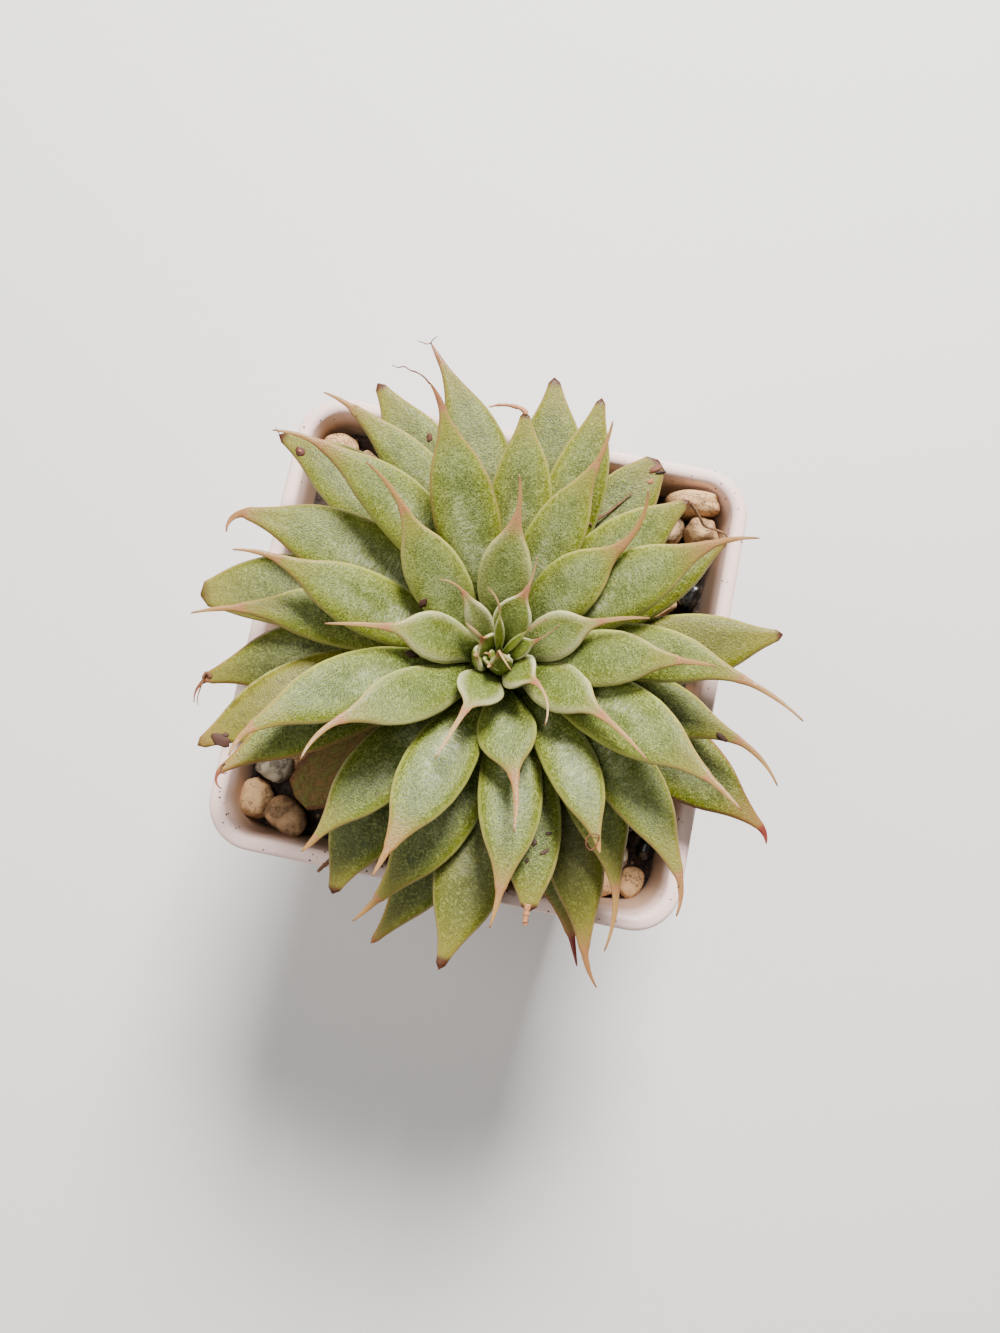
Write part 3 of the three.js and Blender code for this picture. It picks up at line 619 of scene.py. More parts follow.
# Painted shade: leaves that point to the front are laid a little darker.
skin.lay(shine.step(0.45, 0.8) * 0.3, (56, 70, 14))
pits = dots.step(0.5, 0.2) * edge.step(0.1, 0.7) * age.step(-0.05, 0.3)
skin.lay(pits * (0.74 - 0.35 * sheen), (34, 46, 4))
flecks = fleck.step(0.55, 0.95) * (1 - pits) * along.step(1.05, 0.9)
skin.lay(flecks * 0.34, (172, 178, 96))
skin.lay(yellow, (112, 100, 8))
skin.tell("bloom, sheen, stipple:")

# %% [markdown]
# ## Margins, tips and tails
# The margin is a pale line, and red on a few old leaves. Past the blade the green turns tan, with
# a pink joint before the tail, and tips that have dried off are dark brown.

# %% Margins, tips and tails
soft_edge = edge.step(0.3 + 1.3 * age.step(0.08, 0.2), 0.05) * along.step(0.1, 0.4)
skin.lay(soft_edge * side.step(-0.6, -0.1) * heart * grown * 0.8, (206, 200, 158))
margin = edge.step(0.2 + 0.4 * age.step(0.05, 0.2), 0.05) * along.step(0.05, 0.3) * grown
line = skin.mix(heart, (172, 172, 88), (206, 202, 156))
line = skin.mix(along.step(0.6 + 0.2 * heart, 1), line, (176, 140, 90))
line = skin.mix(red * along.step(0.2, 0.6), line, (140, 58, 42))
skin.lay(margin * 0.6, line)
skin.lay(along.step(0.8, 1) * 0.5, (132, 116, 44))
past_blade = along - 0.2 * tint
tail_colour = skin.mix(heart, (150, 108, 58), (172, 140, 92))
skin.lay(past_blade.step(0.85, 1.25) * (1 - dry) * 0.9, tail_colour)
joint = past_blade.step(0.82, 0.98) * along.step(1.35, 1.08) * (1 - dry)
pink = 0.75 * heart + (0.2 + 0.4 * tint) * (1 - heart)
skin.lay(joint * pink, (164, 88, 70))
skin.lay(along.step(1, 1.3) * red, (118, 46, 36))
skin.lay(along.step(1.75, 2) * 0.5, (92, 54, 34))
dried_tip = (along + 0.05 * clouds).step(0.985, 1.012) * dry
skin.lay(dried_tip, skin.mix(streaks, (48, 20, 8), (100, 60, 34)))
skin.tell("margins, tips, tails:")

# %% [markdown]
# ## Age, relief and gloss
# Old leaves have brown specks and yellowed ones dark patches. The withered leaf is brown and
# wrinkled. The stipple is also a fine relief.

# %% Age, relief and gloss
specks = skin.cells(skin.scaled(skin_place, (0.42, 0.42, 1)), 1).step(0.09, 0.05)
skin.lay(specks * age.step(0.25, 0.5) * 0.7, (70, 48, 18))
skin.lay(yellow * mottle.step(0.52, 0.62) * 0.7, (70, 56, 10))
withered = skin.mix(mottle.step(0.3, 0.7), (134, 98, 50), (114, 108, 40))
withered = skin.mix(abs(mottle - 0.5).step(0.05, 0) * 0.35, withered, (44, 22, 12))
withered = skin.mix(edge.step(1, 0.1) * 0.8, withered, (104, 54, 32))
skin.lay(brown, withered)
relief = (fleck * 0.5 + dots * 0.5) * edge.step(0, 0.5) + mottle * brown * 6
wax = dict(Roughness=0.36 + 0.2 * fleck, Specular_IOR_Level=0.3)
leaf_material = skin.done(Normal=skin.bump(relief, 0.0001), **wax)
skin.tell("complete:")

# %% [markdown]
# ## The leaves
# Single leaves differ from the rest in colour or in their tails. Four pieces hold them by age.

# %% Leaves
GROUPS = {"heart_leaves": (-12, 0), "inner_leaves": (1, 15), "middle_leaves": (16, 34),
          "outer_leaves": (35, 63)}
# How yellow, brown or dry; a red tail; a finer or shorter tail; the share of the blade left
LEAF_LOOKS = [
    ((-11, -10), dict(tail=1.6, droop=0)),
    ((-8,), dict(tail=1.4, droop=0)),
    ((-3,), dict(tail=0.9)),
    ((-7, -5, -4, -2, -1), dict(fine=0.7)),
    ((12,), dict(red=0.5)),
    ((18, 44), dict(red=0.8, fine=0.5)),
    ((24, 28, 50), dict(red=0.3)),
    ((46, 55), dict(red=0.4)),
    ((45, 63), dict(red=1)),
    ((29,), dict(cut=0.96)),
    ((36, 43), dict(cut=0.93)),
    ((31,), dict(yellow=0.6, dry=0.3)),
    ((35, 36), dict(dry=0.6)),
    ((39,), dict(brown=1, dry=0)),
    ((40,), dict(yellow=0.35)),
    ((42,), dict(dry=1, yellow=0.15)),
    ((50,), dict(yellow=0.3)),
]
for numbers, looks in LEAF_LOOKS:
    for leaf in LEAVES:
        if leaf["n"] in numbers:
            leaf.update(looks)
for group, (low, high) in GROUPS.items():
    tubes = [leaf_tube(leaf) for leaf in LEAVES if low <= leaf["n"] <= high]
    make_piece(group, tubes, leaf_material, "leaf", ["rosette"])

# %% [markdown]
# ## Stem
# The short stem goes down into the soil. It is a plain leaning tube, since nothing of it shows,
# and without marks the skin has its base colour.

# %% Stem
STEM_LEVELS = [
    # height and radius
    (STEM_FOOT[2], 3),
    (CROWN_BOTTOM - 4, STEM_RADIUS),
    (base_height(8), STEM_RADIUS + 0.8),
    (base_height(0), base_radius(0) + 0.5),
    (STEM_TIP[2] - 1, 0.9),
]
level = np.linspace(STEM_FOOT[2], STEM_TIP[2] - 1, 30)
radius = np.interp(level, *zip(*STEM_LEVELS))
angle = np.linspace(0, 2 * np.pi, 33)[:-1]
ring = np.stack([np.cos(angle), np.sin(angle), 0 * angle], -1)
stem_points = np.stack([stem_at(z) for z in level])[:, None] + radius[:, None, None] * ring
make_piece("stem", [tube(stem_points)], leaf_material, "leaf", ["rosette"])

# %% [markdown]
# ## The pot's outline
# The pot is a thin moulded shell with a rolled rim. Its profile is carried round a square with
# rounded corners, and each bend is softened, as moulded plastic is.

# %% Outline of the pot
POT_HALF, POT_HEIGHT, WALL, FLOOR, BASE_HALF = 35, 70, 1.2, 1.6, 25
RIM_LEDGE, SKIRT_DROP, SKIRT_THICKNESS, CORNER = 2.3, 8, 1.1, 7
INNER_CORNER = 4.8


def cavity_half(z):
    return BASE_HALF - WALL + (POT_HALF - RIM_LEDGE - BASE_HALF + WALL) * z / POT_HEIGHT


def cavity_radius(z):
    return INNER_CORNER + (CORNER - 2 - INNER_CORNER) * z / POT_HEIGHT


def rounded_square(half, radius, z, steps=10, sides=6):
    """Points round a square whose corners are quarter circles, with extra points on the sides."""
    turn, flat, points = np.linspace(0, np.pi / 2, steps + 1), half - radius, []
    for start in np.arange(4) * np.pi / 2:
        middle = start + np.pi / 4
        centre = flat * math.sqrt(2) * np.array([np.cos(middle), np.sin(middle)])
        arc = centre + radius * np.stack([np.cos(start + turn), np.sin(start + turn)], -1)
        ahead = np.array([-np.sin(start + np.pi / 2), np.cos(start + np.pi / 2)])
        run = arc[-1] + np.linspace(0, 2 * flat, sides + 2)[1:-1, None] * ahead
        points += [arc, run]
    ring = np.concatenate(points)
    return np.column_stack([ring, np.full(len(ring), z)])


def softened(profile, reach=0.3):
    """Each bend of a profile is replaced by three points on a small curve."""
    rows = np.array(profile, float)
    result = [rows[0]]
    for before, bend, after in zip(rows, rows[1:], rows[2:]):
        into, out = before - bend, after - bend
        for leg in (into, out):
            length = np.hypot(leg[0], leg[2])
            leg *= min(reach, 0.4 * length) / length
        result += [bend + into, bend + 0.25 * (into + out), bend + out]
    return result + [rows[-1]]


print("the pot is", 2 * round(cavity_half(POT_HEIGHT), 1), "mm wide inside its rim")

# %% [markdown]
# ## The pot's plastic
# The plastic is a pinkish white, with dirt on the rim. The inner wall turns a darker brown towards
# the soil, partly a soil stain and partly painted shade inside the pot. All of it depends on the
# place in the pot alone, so it needs no marks.

# %% Plastic of the pot
plastic = Finish("white_plastic")
pot_place = plastic.place()
px, py, pz = plastic.parts(pot_place)
stain = plastic.noise(pot_place, 90, 4, 0.6)
grime = plastic.noise(pot_place, 900, 3, 0.7)
wall_slope = (cavity_half(POT_HEIGHT) - cavity_half(0)) / POT_HEIGHT
inner_x, inner_y = (abs(p) - wall_slope * pz for p in (px, py))
limits = [(cavity_half(0) + past) * MM for past in (0.8, 0.4)]
inside = inner_x.step(*limits) * inner_y.step(*limits) * pz.step(0.050, 0.060)
plastic.colour = plastic.mix(stain * 0.3, (246, 212, 200), (232, 192, 176))
# Soil stain and painted shade: the inner wall turns darker brown below the rim.
plastic.lay(inside * pz.step(0.0696, 0.0655) * 0.85, (156, 124, 94))
dirt = grime.step(0.66, 0.74) * pz.step(0.064, 0.0685)
plastic.lay(dirt * 0.55, (128, 84, 58))
specks = plastic.cells(pot_place, 850).step(0.18, 0.11) * grime.step(0.44, 0.5)
plastic.lay(specks * pz.step(0.0672, 0.0688), (70, 44, 34))
pot_material = plastic.done(Roughness=0.34 + 0.2 * stain)
plastic.tell("complete:")

# %% [markdown]
# ## The pot with its drain holes
# The profile goes up the outside, round the rim and down the inside. Then four drain holes are
# cut through the floor.

# %% Pot
DRAIN_RADIUS, DRAIN_PLACE, SHARP_ANGLE = 3, 14, 40
EDGE = np.array([POT_HALF, CORNER, POT_HEIGHT])
RIM = [
    # how far inside the edge each bend of the skirt and the rim lies, and how far below the top
    (SKIRT_THICKNESS, 0.7, WALL),
    (SKIRT_THICKNESS + 0.2, 0.8, SKIRT_DROP),
    (0.5, 0.2, SKIRT_DROP),
    (0, 0, 1.6),
    (0.02, 0, 0.45),
    (0.35, 0.2, 0.06),
    (1, 0.5, 0),
    (RIM_LEDGE - 0.6, 1.8, 0.04),
    (RIM_LEDGE - 0.05, 2, 0.5),
]
POT_PROFILE = [
    # half width, radius of the corners and height
    (cavity_half(0) + WALL - 1.4, 4.4, 0),
    (cavity_half(0) + WALL - 0.8, 5, 0),
    (cavity_half(0.8) + WALL, 6, 0.8),
    (cavity_half(POT_HEIGHT - WALL) + WALL, 6.2, POT_HEIGHT - WALL),
    *(EDGE - RIM),
    *((cavity_half(z), cavity_radius(z), z) for z in (POT_HEIGHT - 4, FLOOR)),
]
pot_rings = np.stack([rounded_square(*row) for row in softened(POT_PROFILE)])
pot = make_piece("pot_shell", [tube(pot_rings)], pot_material, "pot_plastic", ["pot"])
for quarter in range(4):
    middle_of_hole = DRAIN_PLACE * np.array([(-1) ** quarter, (-1) ** (quarter // 2)])
    bpy.ops.mesh.primitive_cylinder_add(
        vertices=48, radius=DRAIN_RADIUS * MM, depth=0.01, location=(*(middle_of_hole * MM), 0)
    )
    drill = bpy.context.object
    hole = pot.modifiers.new("drain", "BOOLEAN")
    hole.object, hole.operation, hole.solver = drill, "DIFFERENCE", "EXACT"
    drilled = bpy.data.meshes.new_from_object(
        pot.evaluated_get(bpy.context.evaluated_depsgraph_get())
    )
    pot.modifiers.clear()
    bpy.data.objects.remove(drill)
    pot.data = drilled
drilled.name = "pot_shell"
drilled.set_sharp_from_angle(angle=math.radians(SHARP_ANGLE))
print("pot shell with drain holes:", len(drilled.polygons), "faces")

# %% [markdown]
# ## Stones
# The top dressing is a layer of small stones on a bed of grit. They are placed by the same rule as
# in the solid model: offset rows with a seeded jitter, and those that the photo shows in the
# corners one by one.

# %% Places of the stones
GRIT_TOP, GRIT_SLOPE, STONE_SEED, SOLID_DRAWS = 62.3, 0.03, 11, 12
STONE_PITCH, STONE_SIZE, STONE_SINK, ROW_SHARE, JITTER = 7.4, 4.6, 1.2, 0.86, 0.9
CORNER_STONES = [
    # x, y, length, breadth, rise over the grit and turn
    (-29, 28.4, 5.8, 4.8, 3.6, 20),
    (-24.4, 26.6, 4.6, 4.2, 2.6, 60),
    (27.0, 30.1, 9.2, 4.0, 7.3, 5),
    (29.2, 26.1, 5.4, 4.8, 6.6, 20),
    (24.6, 25.6, 4.6, 4, 4.6, 60),
    (28.8, 21.6, 5.2, 4, 4.6, 10),
    (24.6, 14, 6.4, 4.4, 2.8, 40),
    (-29.6, -27.7, 5, 5.6, 3.8, -10),
    (-24.4, -29.4, 7.4, 5.2, 4.4, -20),
    (24.4, -29.6, 4.6, 4, 2.4, 30),
    (28.6, -28.6, 5, 4, 1.6, 80),
]
LOOSE_STONES = {
    "pale_stone_1": (-28, -21.9, 5.8, 5.4, 4.4, 60),
    "pale_stone_2": (25.6, -25.2, 4.2, 4, 3.2, 0),
    "black_stone_1": (29.2, 16.6, 4.8, 4.2, 3.4, 60),
    "black_stone_2": (28.6, 11.4, 4.4, 3.4, 2.8, 10),
    "black_stone_3": (26.4, -19.6, 4.8, 3.6, 2.6, 80),
    "black_stone_4": (30, -23.2, 4.4, 3, 2, 85),
}


def drawn(seed):
    """Numbers from 0 to 1 by the rule state = (1664525 state + 1013904223) mod 2^32."""
    state = seed
    while True:
        state = (state * 1664525 + 1013904223) % 4294967296
        yield state / 4294967296


def bed_stones():
    """The stones of the bed: rows of jittered places, without those near a listed stone.
    The numbers that shape a stone in the solid model are passed over."""
    draw, half = drawn(STONE_SEED), cavity_half(GRIT_TOP)
    rows = math.floor(half / (STONE_PITCH * ROW_SHARE))
    stones = []
    for row in range(-rows, rows + 1):
        for column in range(-5, 6):
            step = column + math.fmod(row, 2) / 2
            x = step * STONE_PITCH - JITTER + 2 * JITTER * next(draw)
            y = row * STONE_PITCH * ROW_SHARE - JITTER + 2 * JITTER * next(draw)
            size = STONE_SIZE * (0.9 + 0.4 * next(draw))
            rise = 1.4 + 1.4 * next(draw)
            place = (x, y, size * 1.25, size, rise, next(draw) * 180)
            seen = min(math.hypot(x - s[0], y - s[1]) for s in CORNER_STONES) < STONE_SIZE
            if max(abs(x), abs(y)) < half and not seen:
                stones.append(place)
                for _ in range(SOLID_DRAWS):
                    next(draw)
    return stones


print(len(bed_stones()), "stones by the rule and", len(CORNER_STONES), "by eye")

# %% [markdown]
# ## The shape of a stone
# A pebble is a ball with waves of several sizes on it, made a little blocky.

# %% Shape of a stone
PEBBLE_WAVES = ([2.2, 2.2, 2.6, 3.5, 5, 7, 9], [0.06, 0.06, 0.05, 0.035, 0.022, 0.014, 0.01])
BLOCKY, FILL = 0.78, 0.94


def waved_ball(pick, waves, heights, rings, around):
    """A unit sphere p, and r = 1 + the sum of h sin(k . p + phase) over the waves at each point
    of it, where k has a chance direction."""
    polar = np.linspace(0, np.pi, rings + 2)[1:-1][::-1, None]
    angle = np.arange(around) / around * 2 * np.pi
    level = np.cos(polar) + 0 * angle
    ball = np.stack([np.sin(polar) * np.cos(angle), np.sin(polar) * np.sin(angle), level], -1)
    k = pick.normal(0, 1, (len(waves), 3)) * np.array(waves)[:, None]
    bumps = np.array(heights) * np.sin(ball @ k.T + pick.random(len(waves)) * 6.28)
    return ball, (1 + bumps.sum(-1))[..., None]


def stone_tube(place, number, rings=22, around=34):
    """A pebble: a waved ball made blockier by the power 0.78 of each coordinate. Its mark holds
    three chance numbers for its tone. The second darkens the stone, and it is high in stones that
    lie deep, as painted shade."""
    x, y, long, broad, rise, turn = place
    pick = np.random.default_rng(900 + number)
    ball, swell = waved_ball(pick, *PEBBLE_WAVES, rings, around)
    high = max(rise + STONE_SINK, broad * 0.8)
    centre = np.array([x, y, GRIT_TOP + GRIT_SLOPE * (y - x) + rise - high / 2])
    shaped = np.sign(ball) * np.abs(ball) ** BLOCKY * FILL * swell
    shaped = shaped * [long / 2, broad / 2, high / 2] @ turn_matrix(2, turn).T
    looks = pick.random(3)
    # Stones that lie deep get painted shade.
    looks[1] = max(looks[1], (2.0 - rise) / 0.5)
    return tube(shaped + centre, grain=np.zeros(shaped.shape) + looks)


print("a pebble has", len(stone_tube(CORNER_STONES[0], 0)["points"]), "points")

# %% [markdown]
# ## The looks of the stones
# Tan stones differ in hue and darkness, with pores and fine cracks. Those that lie deep among the
# others are darker with painted shade. The pale ones have dark veins, and the black ones are
# smoother.

# %% Stones
tan = Finish("tan_pebbles")
hue, depth, kind = tan.marks("grain")
patches = tan.noise(tan.place(), 420, 4, 0.6)
pores = tan.noise(tan.place(), 1500, 3, 0.7)
cracks = abs(patches - 0.45).step(0.012, 0)
tan.colour = tan.mix(hue, (212, 168, 118), (186, 142, 96))
tan.lay(kind.step(0.6, 1), (200, 168, 124))
# Painted shade on stones that lie deep, and a darker tone on some at random.
tan.lay(depth.step(0.7, 1) * 0.75, (104, 74, 48))
tan.lay(patches.step(0.4, 0.7) * 0.5, (216, 172, 120))
tan.lay(pores.step(0.58, 0.72) * 0.5, (92, 62, 36))
tan.lay(cracks * 0.5, (96, 60, 34))
rough = tan.bump(patches * 0.7 + pores * 0.3 - cracks * 0.4, 0.0005)
tan_material = tan.done(Roughness=0.75, Normal=rough)
pale = Finish("pale_pebble")
vein = pale.noise(pale.place(), 300, 4, 0.6)
pale.colour = pale.mix(abs(vein - 0.5).step(0.07, 0) * 0.75, (172, 156, 132), (70, 60, 48))
black = Finish("black_pebble")
mist = black.noise(black.place(), 500, 3, 0.6)
black.colour = black.mix(mist.step(0.5, 0.8), (14, 13, 12), (52, 46, 40))
STONE_LOOKS = {
    "pale": (pale.done(Roughness=0.7, Normal=pale.bump(vein, 0.0004, 0.6)), "pale_stone"),
    "black": (black.done(Roughness=0.22, Normal=black.bump(mist, 0.0003, 0.4)), "black_stone"),
}
tubes = [stone_tube(place, i) for i, place in enumerate(bed_stones() + CORNER_STONES)]
make_piece("bed_pebbles", tubes, tan_material, "tan_stone", ["gravel"])
for number, (name, place) in enumerate(LOOSE_STONES.items()):
    looks = STONE_LOOKS[name.split("_")[0]]
    make_piece(name + "_pebble", [stone_tube(place, 500 + number)], *looks, [name])

# %% [markdown]
# ## Grit bed and soil
# Dark grit fills the pot from wall to wall between the pebbles, with a hole for the stem. The soil
# below can't be seen, so its solid only gets the same finish.

# %% Grit bed and soil
SOIL_TOP, CLEARANCE = 54, 0.3
soil = Finish("dark_soil")
lumps = soil.noise(soil.place(), 700, 4, 0.7)
soil.colour = soil.mix(lumps.step(0.35, 0.65), (26, 18, 14), (66, 48, 36))
perlite = soil.cells(soil.place(), 450).step(0.16, 0.1)
soil.lay(perlite * 0.6, (150, 120, 90))
soil_material = soil.done(Roughness=0.95, Normal=soil.bump(lumps, 0.0012))
potting_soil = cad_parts["potting_soil"]
potting_soil.data.materials.clear()
potting_soil.data.materials.append(soil_material)


def bed_ring(z, share):
    """The pot's inner outline, drawn in by a share of the way to the hole for the stem."""
    outline = rounded_square(cavity_half(z) - CLEARANCE, cavity_radius(z) - CLEARANCE, z, 20, 30)
    out = outline[:, :2] - stem_at(z)[:2]
    hole = stem_at(z)[:2] + unit(out) * (STEM_RADIUS + CLEARANCE)
    outline[:, :2] += share * (hole - outline[:, :2])
    return outline


def bed_relief(x, y):
    """Height over the bed's top: its lean, and crumbs of 0.3 sin(2.1 x + 3 sin 0.7 y) times
    sin(2.3 y + 2 sin 0.9 x)."""
    crumbs = 0.3 * np.sin(x * 2.1 + 3 * np.sin(y * 0.7)) * np.sin(y * 2.3 + 2 * np.sin(x * 0.9))
    return GRIT_SLOPE * (y - x) + crumbs


foot = SOIL_TOP + CLEARANCE
bed_rings = [bed_ring(foot, share) for share in (1, 0.5, 0)]
bed_rings += [bed_ring(z, 0) for z in np.linspace(foot + 0.4, GRIT_TOP, 8)]
bed_rings += [bed_ring(GRIT_TOP, share) for share in np.linspace(0, 1, 40)[1:]]
bed = np.stack(bed_rings)
top = bed[..., 2] > GRIT_TOP - 0.01
bed[..., 2] += np.where(top, bed_relief(bed[..., 0], bed[..., 1]), 0)
make_piece("grit_bed", [tube(bed, looped=True)], soil_material, "tan_stone", ["gravel"])

# %% [markdown]
# ## Dried threads
# Tails dry out into brown threads. Each is a thin tube along a smooth curve through a few points,
# measured where the photo shows it. A mark says how ruddy, pale or dark it is.

# %% Threads
dried = Finish("dried_matter")
ruddy, paleness, darkness = dried.marks("crumb")
dried.colour = dried.mix(ruddy, (88, 66, 38), (96, 36, 18))
dried.lay(paleness, (188, 128, 84))
dried.lay(darkness, (34, 18, 8))
dried.lay(dried.noise(dried.place(), 1500, 3, 0.6).step(0.45, 0.65) * 0.5, (58, 34, 22))
dried_material = dried.done(Roughness=0.7)
THREAD_LOOKS = {"red": (0.9, 0.1), "pink": (0.1, 0.9), "brown": (0.5, 0.2), "grey": (0.0, 0.3)}
THREADS = [
    # colour, half width at start and end, points
    ("red", 0.13, 0.06, [
        (-12.1, 28.47, 97.1), (-12.98, 29.1, 97.4), (-13.93, 29.42, 97.6), (-14.83, 29.48, 97.8),
        (-15.62, 29.7, 98), (-16.33, 29.42, 98), (-17.14, 29.6, 98)]),
    ("red", 0.1, 0.06, [
        (-16.4, 42.45, 78.2), (-16.91, 42.09, 78.4), (-17.82, 42.17, 78.5), (-18.26, 42.19, 78.6)]),
    ("red", 0.1, 0.06, [
        (-16.4, 42.45, 78.2), (-16.21, 42.99, 78.3), (-15.65, 43.53, 78.4)]),
    ("pink", 0.4, 0.14, [
        (0.03, 31.06, 87), (-0.76, 31.54, 87.2), (-1.76, 31.7, 87.2), (-3.01, 31.71, 87.1),
        (-4.21, 31.48, 87), (-5.23, 31.05, 86.9)]),
    ("grey", 0.26, 0.12, [
        (23.67, 22.83, 88.4), (24.46, 22.47, 87.4), (25.73, 21.86, 85.6), (26.78, 21.34, 84.2),
        (28.5, 21.4, 83.2), (29.94, 21.34, 82.4), (30.78, 20.72, 81.6)]),
    ("brown", 0.34, 0.12, [
        (-36.23, -11.9, 78.2), (-36.79, -11.49, 78.6), (-37.13, -12.01, 78.7),
        (-37.07, -12.7, 78.6)]),
    ("grey", 0.12, 0.05, [
        (-37.07, -12.7, 78.6), (-37.27, -13.86, 78.4), (-37.34, -15.15, 78.3),
        (-37.04, -16.22, 78.2)]),
    ("brown", 0.12, 0.08, [
        (-26.95, -22.89, 94.2), (-27.22, -23.33, 94.4), (-27.04, -24.1, 94.4),
        (-26.42, -24.03, 94.2)]),
    ("red", 0.1, 0.07, [
        (19.79, -23.03, 91), (19.77, -22.4, 91.2), (18.99, -22.31, 91.3), (18.36, -22.94, 91.3),
        (18.4, -23.81, 91.2), (19.07, -24.29, 91.1), (19.61, -23.81, 91.1), (19.67, -23.17, 91.2)]),
    ("pink", 0.5, 0.36, [
        (13.05, -32.84, 84.6), (13.06, -33.87, 84.6), (13.11, -34.77, 84.5),
        (13.21, -35.54, 84.3)]),
    ("brown", 0.34, 0.24, [
        (-15.4, -33.7, 70.35), (-16.05, -34.5, 70.35), (-16.5, -35.15, 70.35),
        (-16.9, -35.75, 70.25)]),
    ("red", 0.1, 0.05, [
        (-34.1, 23.45, 80.6), (-34.49, 24.05, 80.8), (-34.97, 24.56, 80.8)]),
    ("brown", 0.3, 0.1, [
        (11.4, 19, 82.3), (11.9, 20.1, 80.2), (12.6, 21.3, 78.5), (13.8, 22.5, 78.1),
        (15.1, 24.1, 78.15), (16.6, 26, 78.3)]),
]


def thread_tube(look, first, last, points, steps=10, around=8):
    """A tapered tube along a cubic curve through the points: at each point the curve runs the
    same way as the line between its neighbours."""
    knots = np.array(points, float)
    knots = np.vstack([2 * knots[0] - knots[1], knots, 2 * knots[-1] - knots[-2]])
    t = np.linspace(0, 1, steps, endpoint=False)[:, None]
    a, b, c, d = (knots[i : len(knots) - 3 + i, None] for i in range(4))
    curve = (
        2 * b + (c - a) * t + (2 * a - 5 * b + 4 * c - d) * t**2 + (3 * b - a - 3 * c + d) * t**3
    ) / 2
    curve = np.vstack([curve.reshape(-1, 3), knots[-2]])
    along = unit(np.gradient(curve, axis=0))
    side = unit(np.cross(along, [0.3, 0.2, 0.93]))
    up = np.cross(side, along)
    share = np.linspace(0, 1, len(curve))
    kinks = 1 + 0.1 * np.sin(share * 19) + 0.06 * np.sin(share * 33 + 1)
    radius = (first + (last - first) * share) * kinks
    angle = -np.arange(around) / around * 2 * np.pi
    ring = side[:, None] * np.cos(angle)[:, None] + 0.8 * up[:, None] * np.sin(angle)[:, None]
    surface = curve[:, None] + ring * radius[:, None, None]
    return tube(surface, crumb=np.zeros(surface.shape) + [*THREAD_LOOKS[look], 0])


make_piece("dried_threads", [thread_tube(*row) for row in THREADS], dried_material, "leaf")

# %% [markdown]
# ## Flakes
# Flakes of dead leaf are flattened balls with waves. Each is given by a place on a leaf, so that it
# lies half sunk in the skin.

# %% Flakes
FLAKES = [
    # leaf, place along and across it, length, breadth, thickness, turn, ruddy, pale, dark
    (7, 0.5, 0.86, 1.6, 1, 0.5, 60, 0.6, 0, 0.6),
    (10, 0.32, -0.62, 1.7, 1.1, 0.6, 10, 0.5, 0, 0.7),
    (10, 0.16, 0.74, 1.5, 0.9, 0.6, 70, 0.6, 0, 0.6),
    (10, 0.2, 0.5, 0.8, 0.6, 0.4, 20, 0.6, 0, 0.8),
    (54, 0.74, -0.55, 1.3, 0.8, 0.5, 30, 0.8, 0.1, 0.4),
    (41, 0.905, 0.36, 1.5, 1.4, 0.34, 0, 0.9, 0, 0.3),
    (41, 0.905, 0.36, 0.6, 0.5, 0.66, 0, 0.2, 0.9, 0),
    (31, 0.927, 0.62, 2.6, 1.7, 0.3, 40, 0.6, 0, 0.5),
    (31, 0.9, 0.4, 1.2, 0.8, 0.3, 10, 0.6, 0, 0.5),
    (29, 0.72, 0.1, 1.1, 0.8, 0.2, 10, 0.4, 0, 0.7),
    (29, 0.76, 0.45, 1.4, 0.6, 0.2, 50, 0.4, 0, 0.6),
    (29, 0.7, 0.6, 0.8, 0.5, 0.2, 80, 0.5, 0, 0.7),
    (29, 0.8, -0.1, 0.7, 0.5, 0.2, 30, 0.5, 0, 0.7),
    (43, 0.955, -0.3, 2.4, 1, 0.5, 30, 1, 0.2, 0.2),
    (43, 0.91, -0.35, 1, 0.7, 0.4, 20, 0.8, 0.6, 0),
    (43, 0.96, -0.75, 1.5, 0.5, 0.5, 60, 0.3, 0, 0.9),
    (32, 0.97, -0.6, 1.6, 0.8, 0.4, 20, 0.7, 0, 0.7),
]
CRUMB_WAVES = ([3.2] * 5, [0.08] * 5)


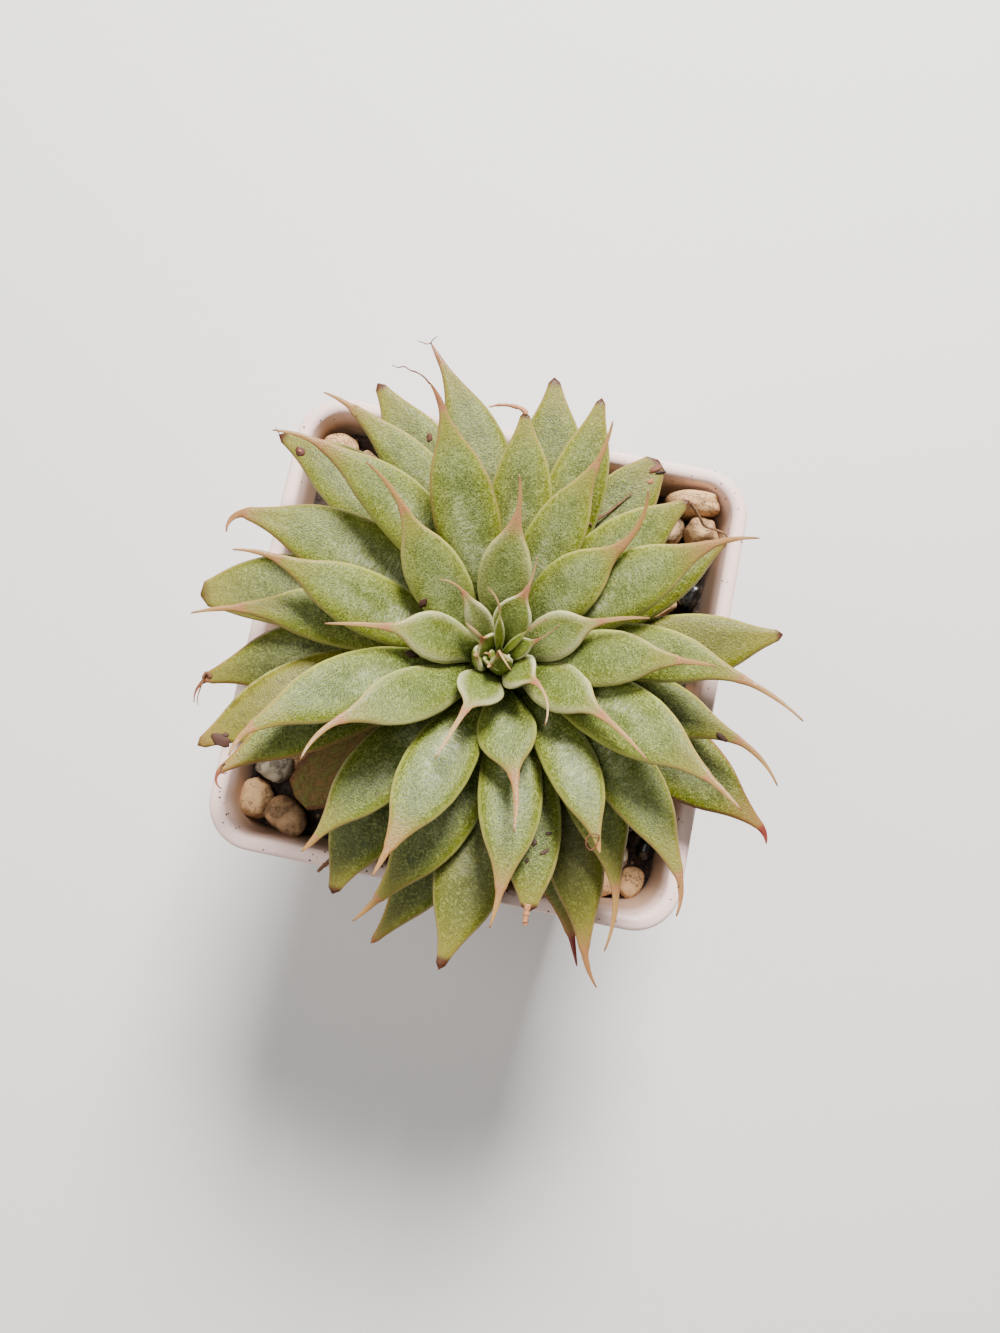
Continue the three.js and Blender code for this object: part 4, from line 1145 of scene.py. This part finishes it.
def on_leaf(n, at, across):
    """The point of a leaf's upper face at a place along and across it, and three directions
    there: ahead, aside and out of the face."""
    leaf = next(leaf for leaf in LEAVES if leaf["n"] == n)
    surface = leaf_surface(leaf, leaf_form(leaf))
    row = int(round(at * (BLADE_RINGS - 1)))
    column = int(round(math.acos(across) / (2 * np.pi) * LEAF_AROUND))
    ahead = surface[row + 1, column] - surface[row - 1, column]
    aside = surface[row, column + 1] - surface[row, column - 1]
    ahead, out = unit(ahead), unit(np.cross(ahead, aside))
    return surface[row, column], np.stack([ahead, np.cross(out, ahead), out])


def flake_tube(n, at, across, long, broad, thick, turn, ruddy, pale, dark):
    """A flattened crumb, half sunk in the skin of a leaf and turned about the face's normal."""
    place, directions = on_leaf(n, at, across)
    pick = np.random.default_rng(n * 31 + int(1000 * at))
    ball, swell = waved_ball(pick, *CRUMB_WAVES, 9, 14)
    shaped = ball * swell * [long / 2, broad / 2, thick / 2] @ turn_matrix(2, turn).T
    surface = place + shaped @ directions
    return tube(surface, crumb=np.zeros(surface.shape) + [ruddy, pale, dark])


make_piece("dried_flakes", [flake_tube(*row) for row in FLAKES], dried_material, "leaf")

# %% [markdown]
# ## Room and light
# A pale floor and soft light from above. The brighter light stands behind the pot, as the shading
# in the photo suggests.

# %% Floor and light
FLOOR_SIZE, FLOOR_DROP, ROOM_STRENGTH, LIGHT_AIM = 2, 0.0005, 0.12, (0, 0, 0.07)
LIGHTS = {
    # place, size of its side and power
    "window": ((0.05, 0.5, 0.62), 0.25, 19.5),
    "ceiling": ((-0.35, -0.1, 0.8), 0.7, 5),
}
bpy.ops.mesh.primitive_plane_add(size=FLOOR_SIZE, location=(0, 0, -FLOOR_DROP))
floor = bpy.context.object
floor.name = "floor"
floor_look = Finish("pale_floor").done(Base_Color=(225, 222, 218), Roughness=0.8)
floor.data.materials.append(floor_look)
world = bpy.data.worlds.new("room")
world.use_nodes = True
background = world.node_tree.nodes["Background"].inputs
background["Color"].default_value = tone(225, 228, 235)
background["Strength"].default_value = ROOM_STRENGTH
bpy.context.scene.world = world
for name, (place, size, power) in LIGHTS.items():
    data = bpy.data.lights.new(name, "AREA")
    data.size, data.energy = size, power
    back = unit(np.array(place) - LIGHT_AIM)
    right = unit(np.cross([0, 1, 0.01], back))
    matrix = np.eye(4)
    matrix[:3] = np.stack([right, np.cross(back, right), back, place], 1)
    added(name, data).matrix_world = Matrix(matrix.tolist())
print("lights:", ", ".join(LIGHTS))
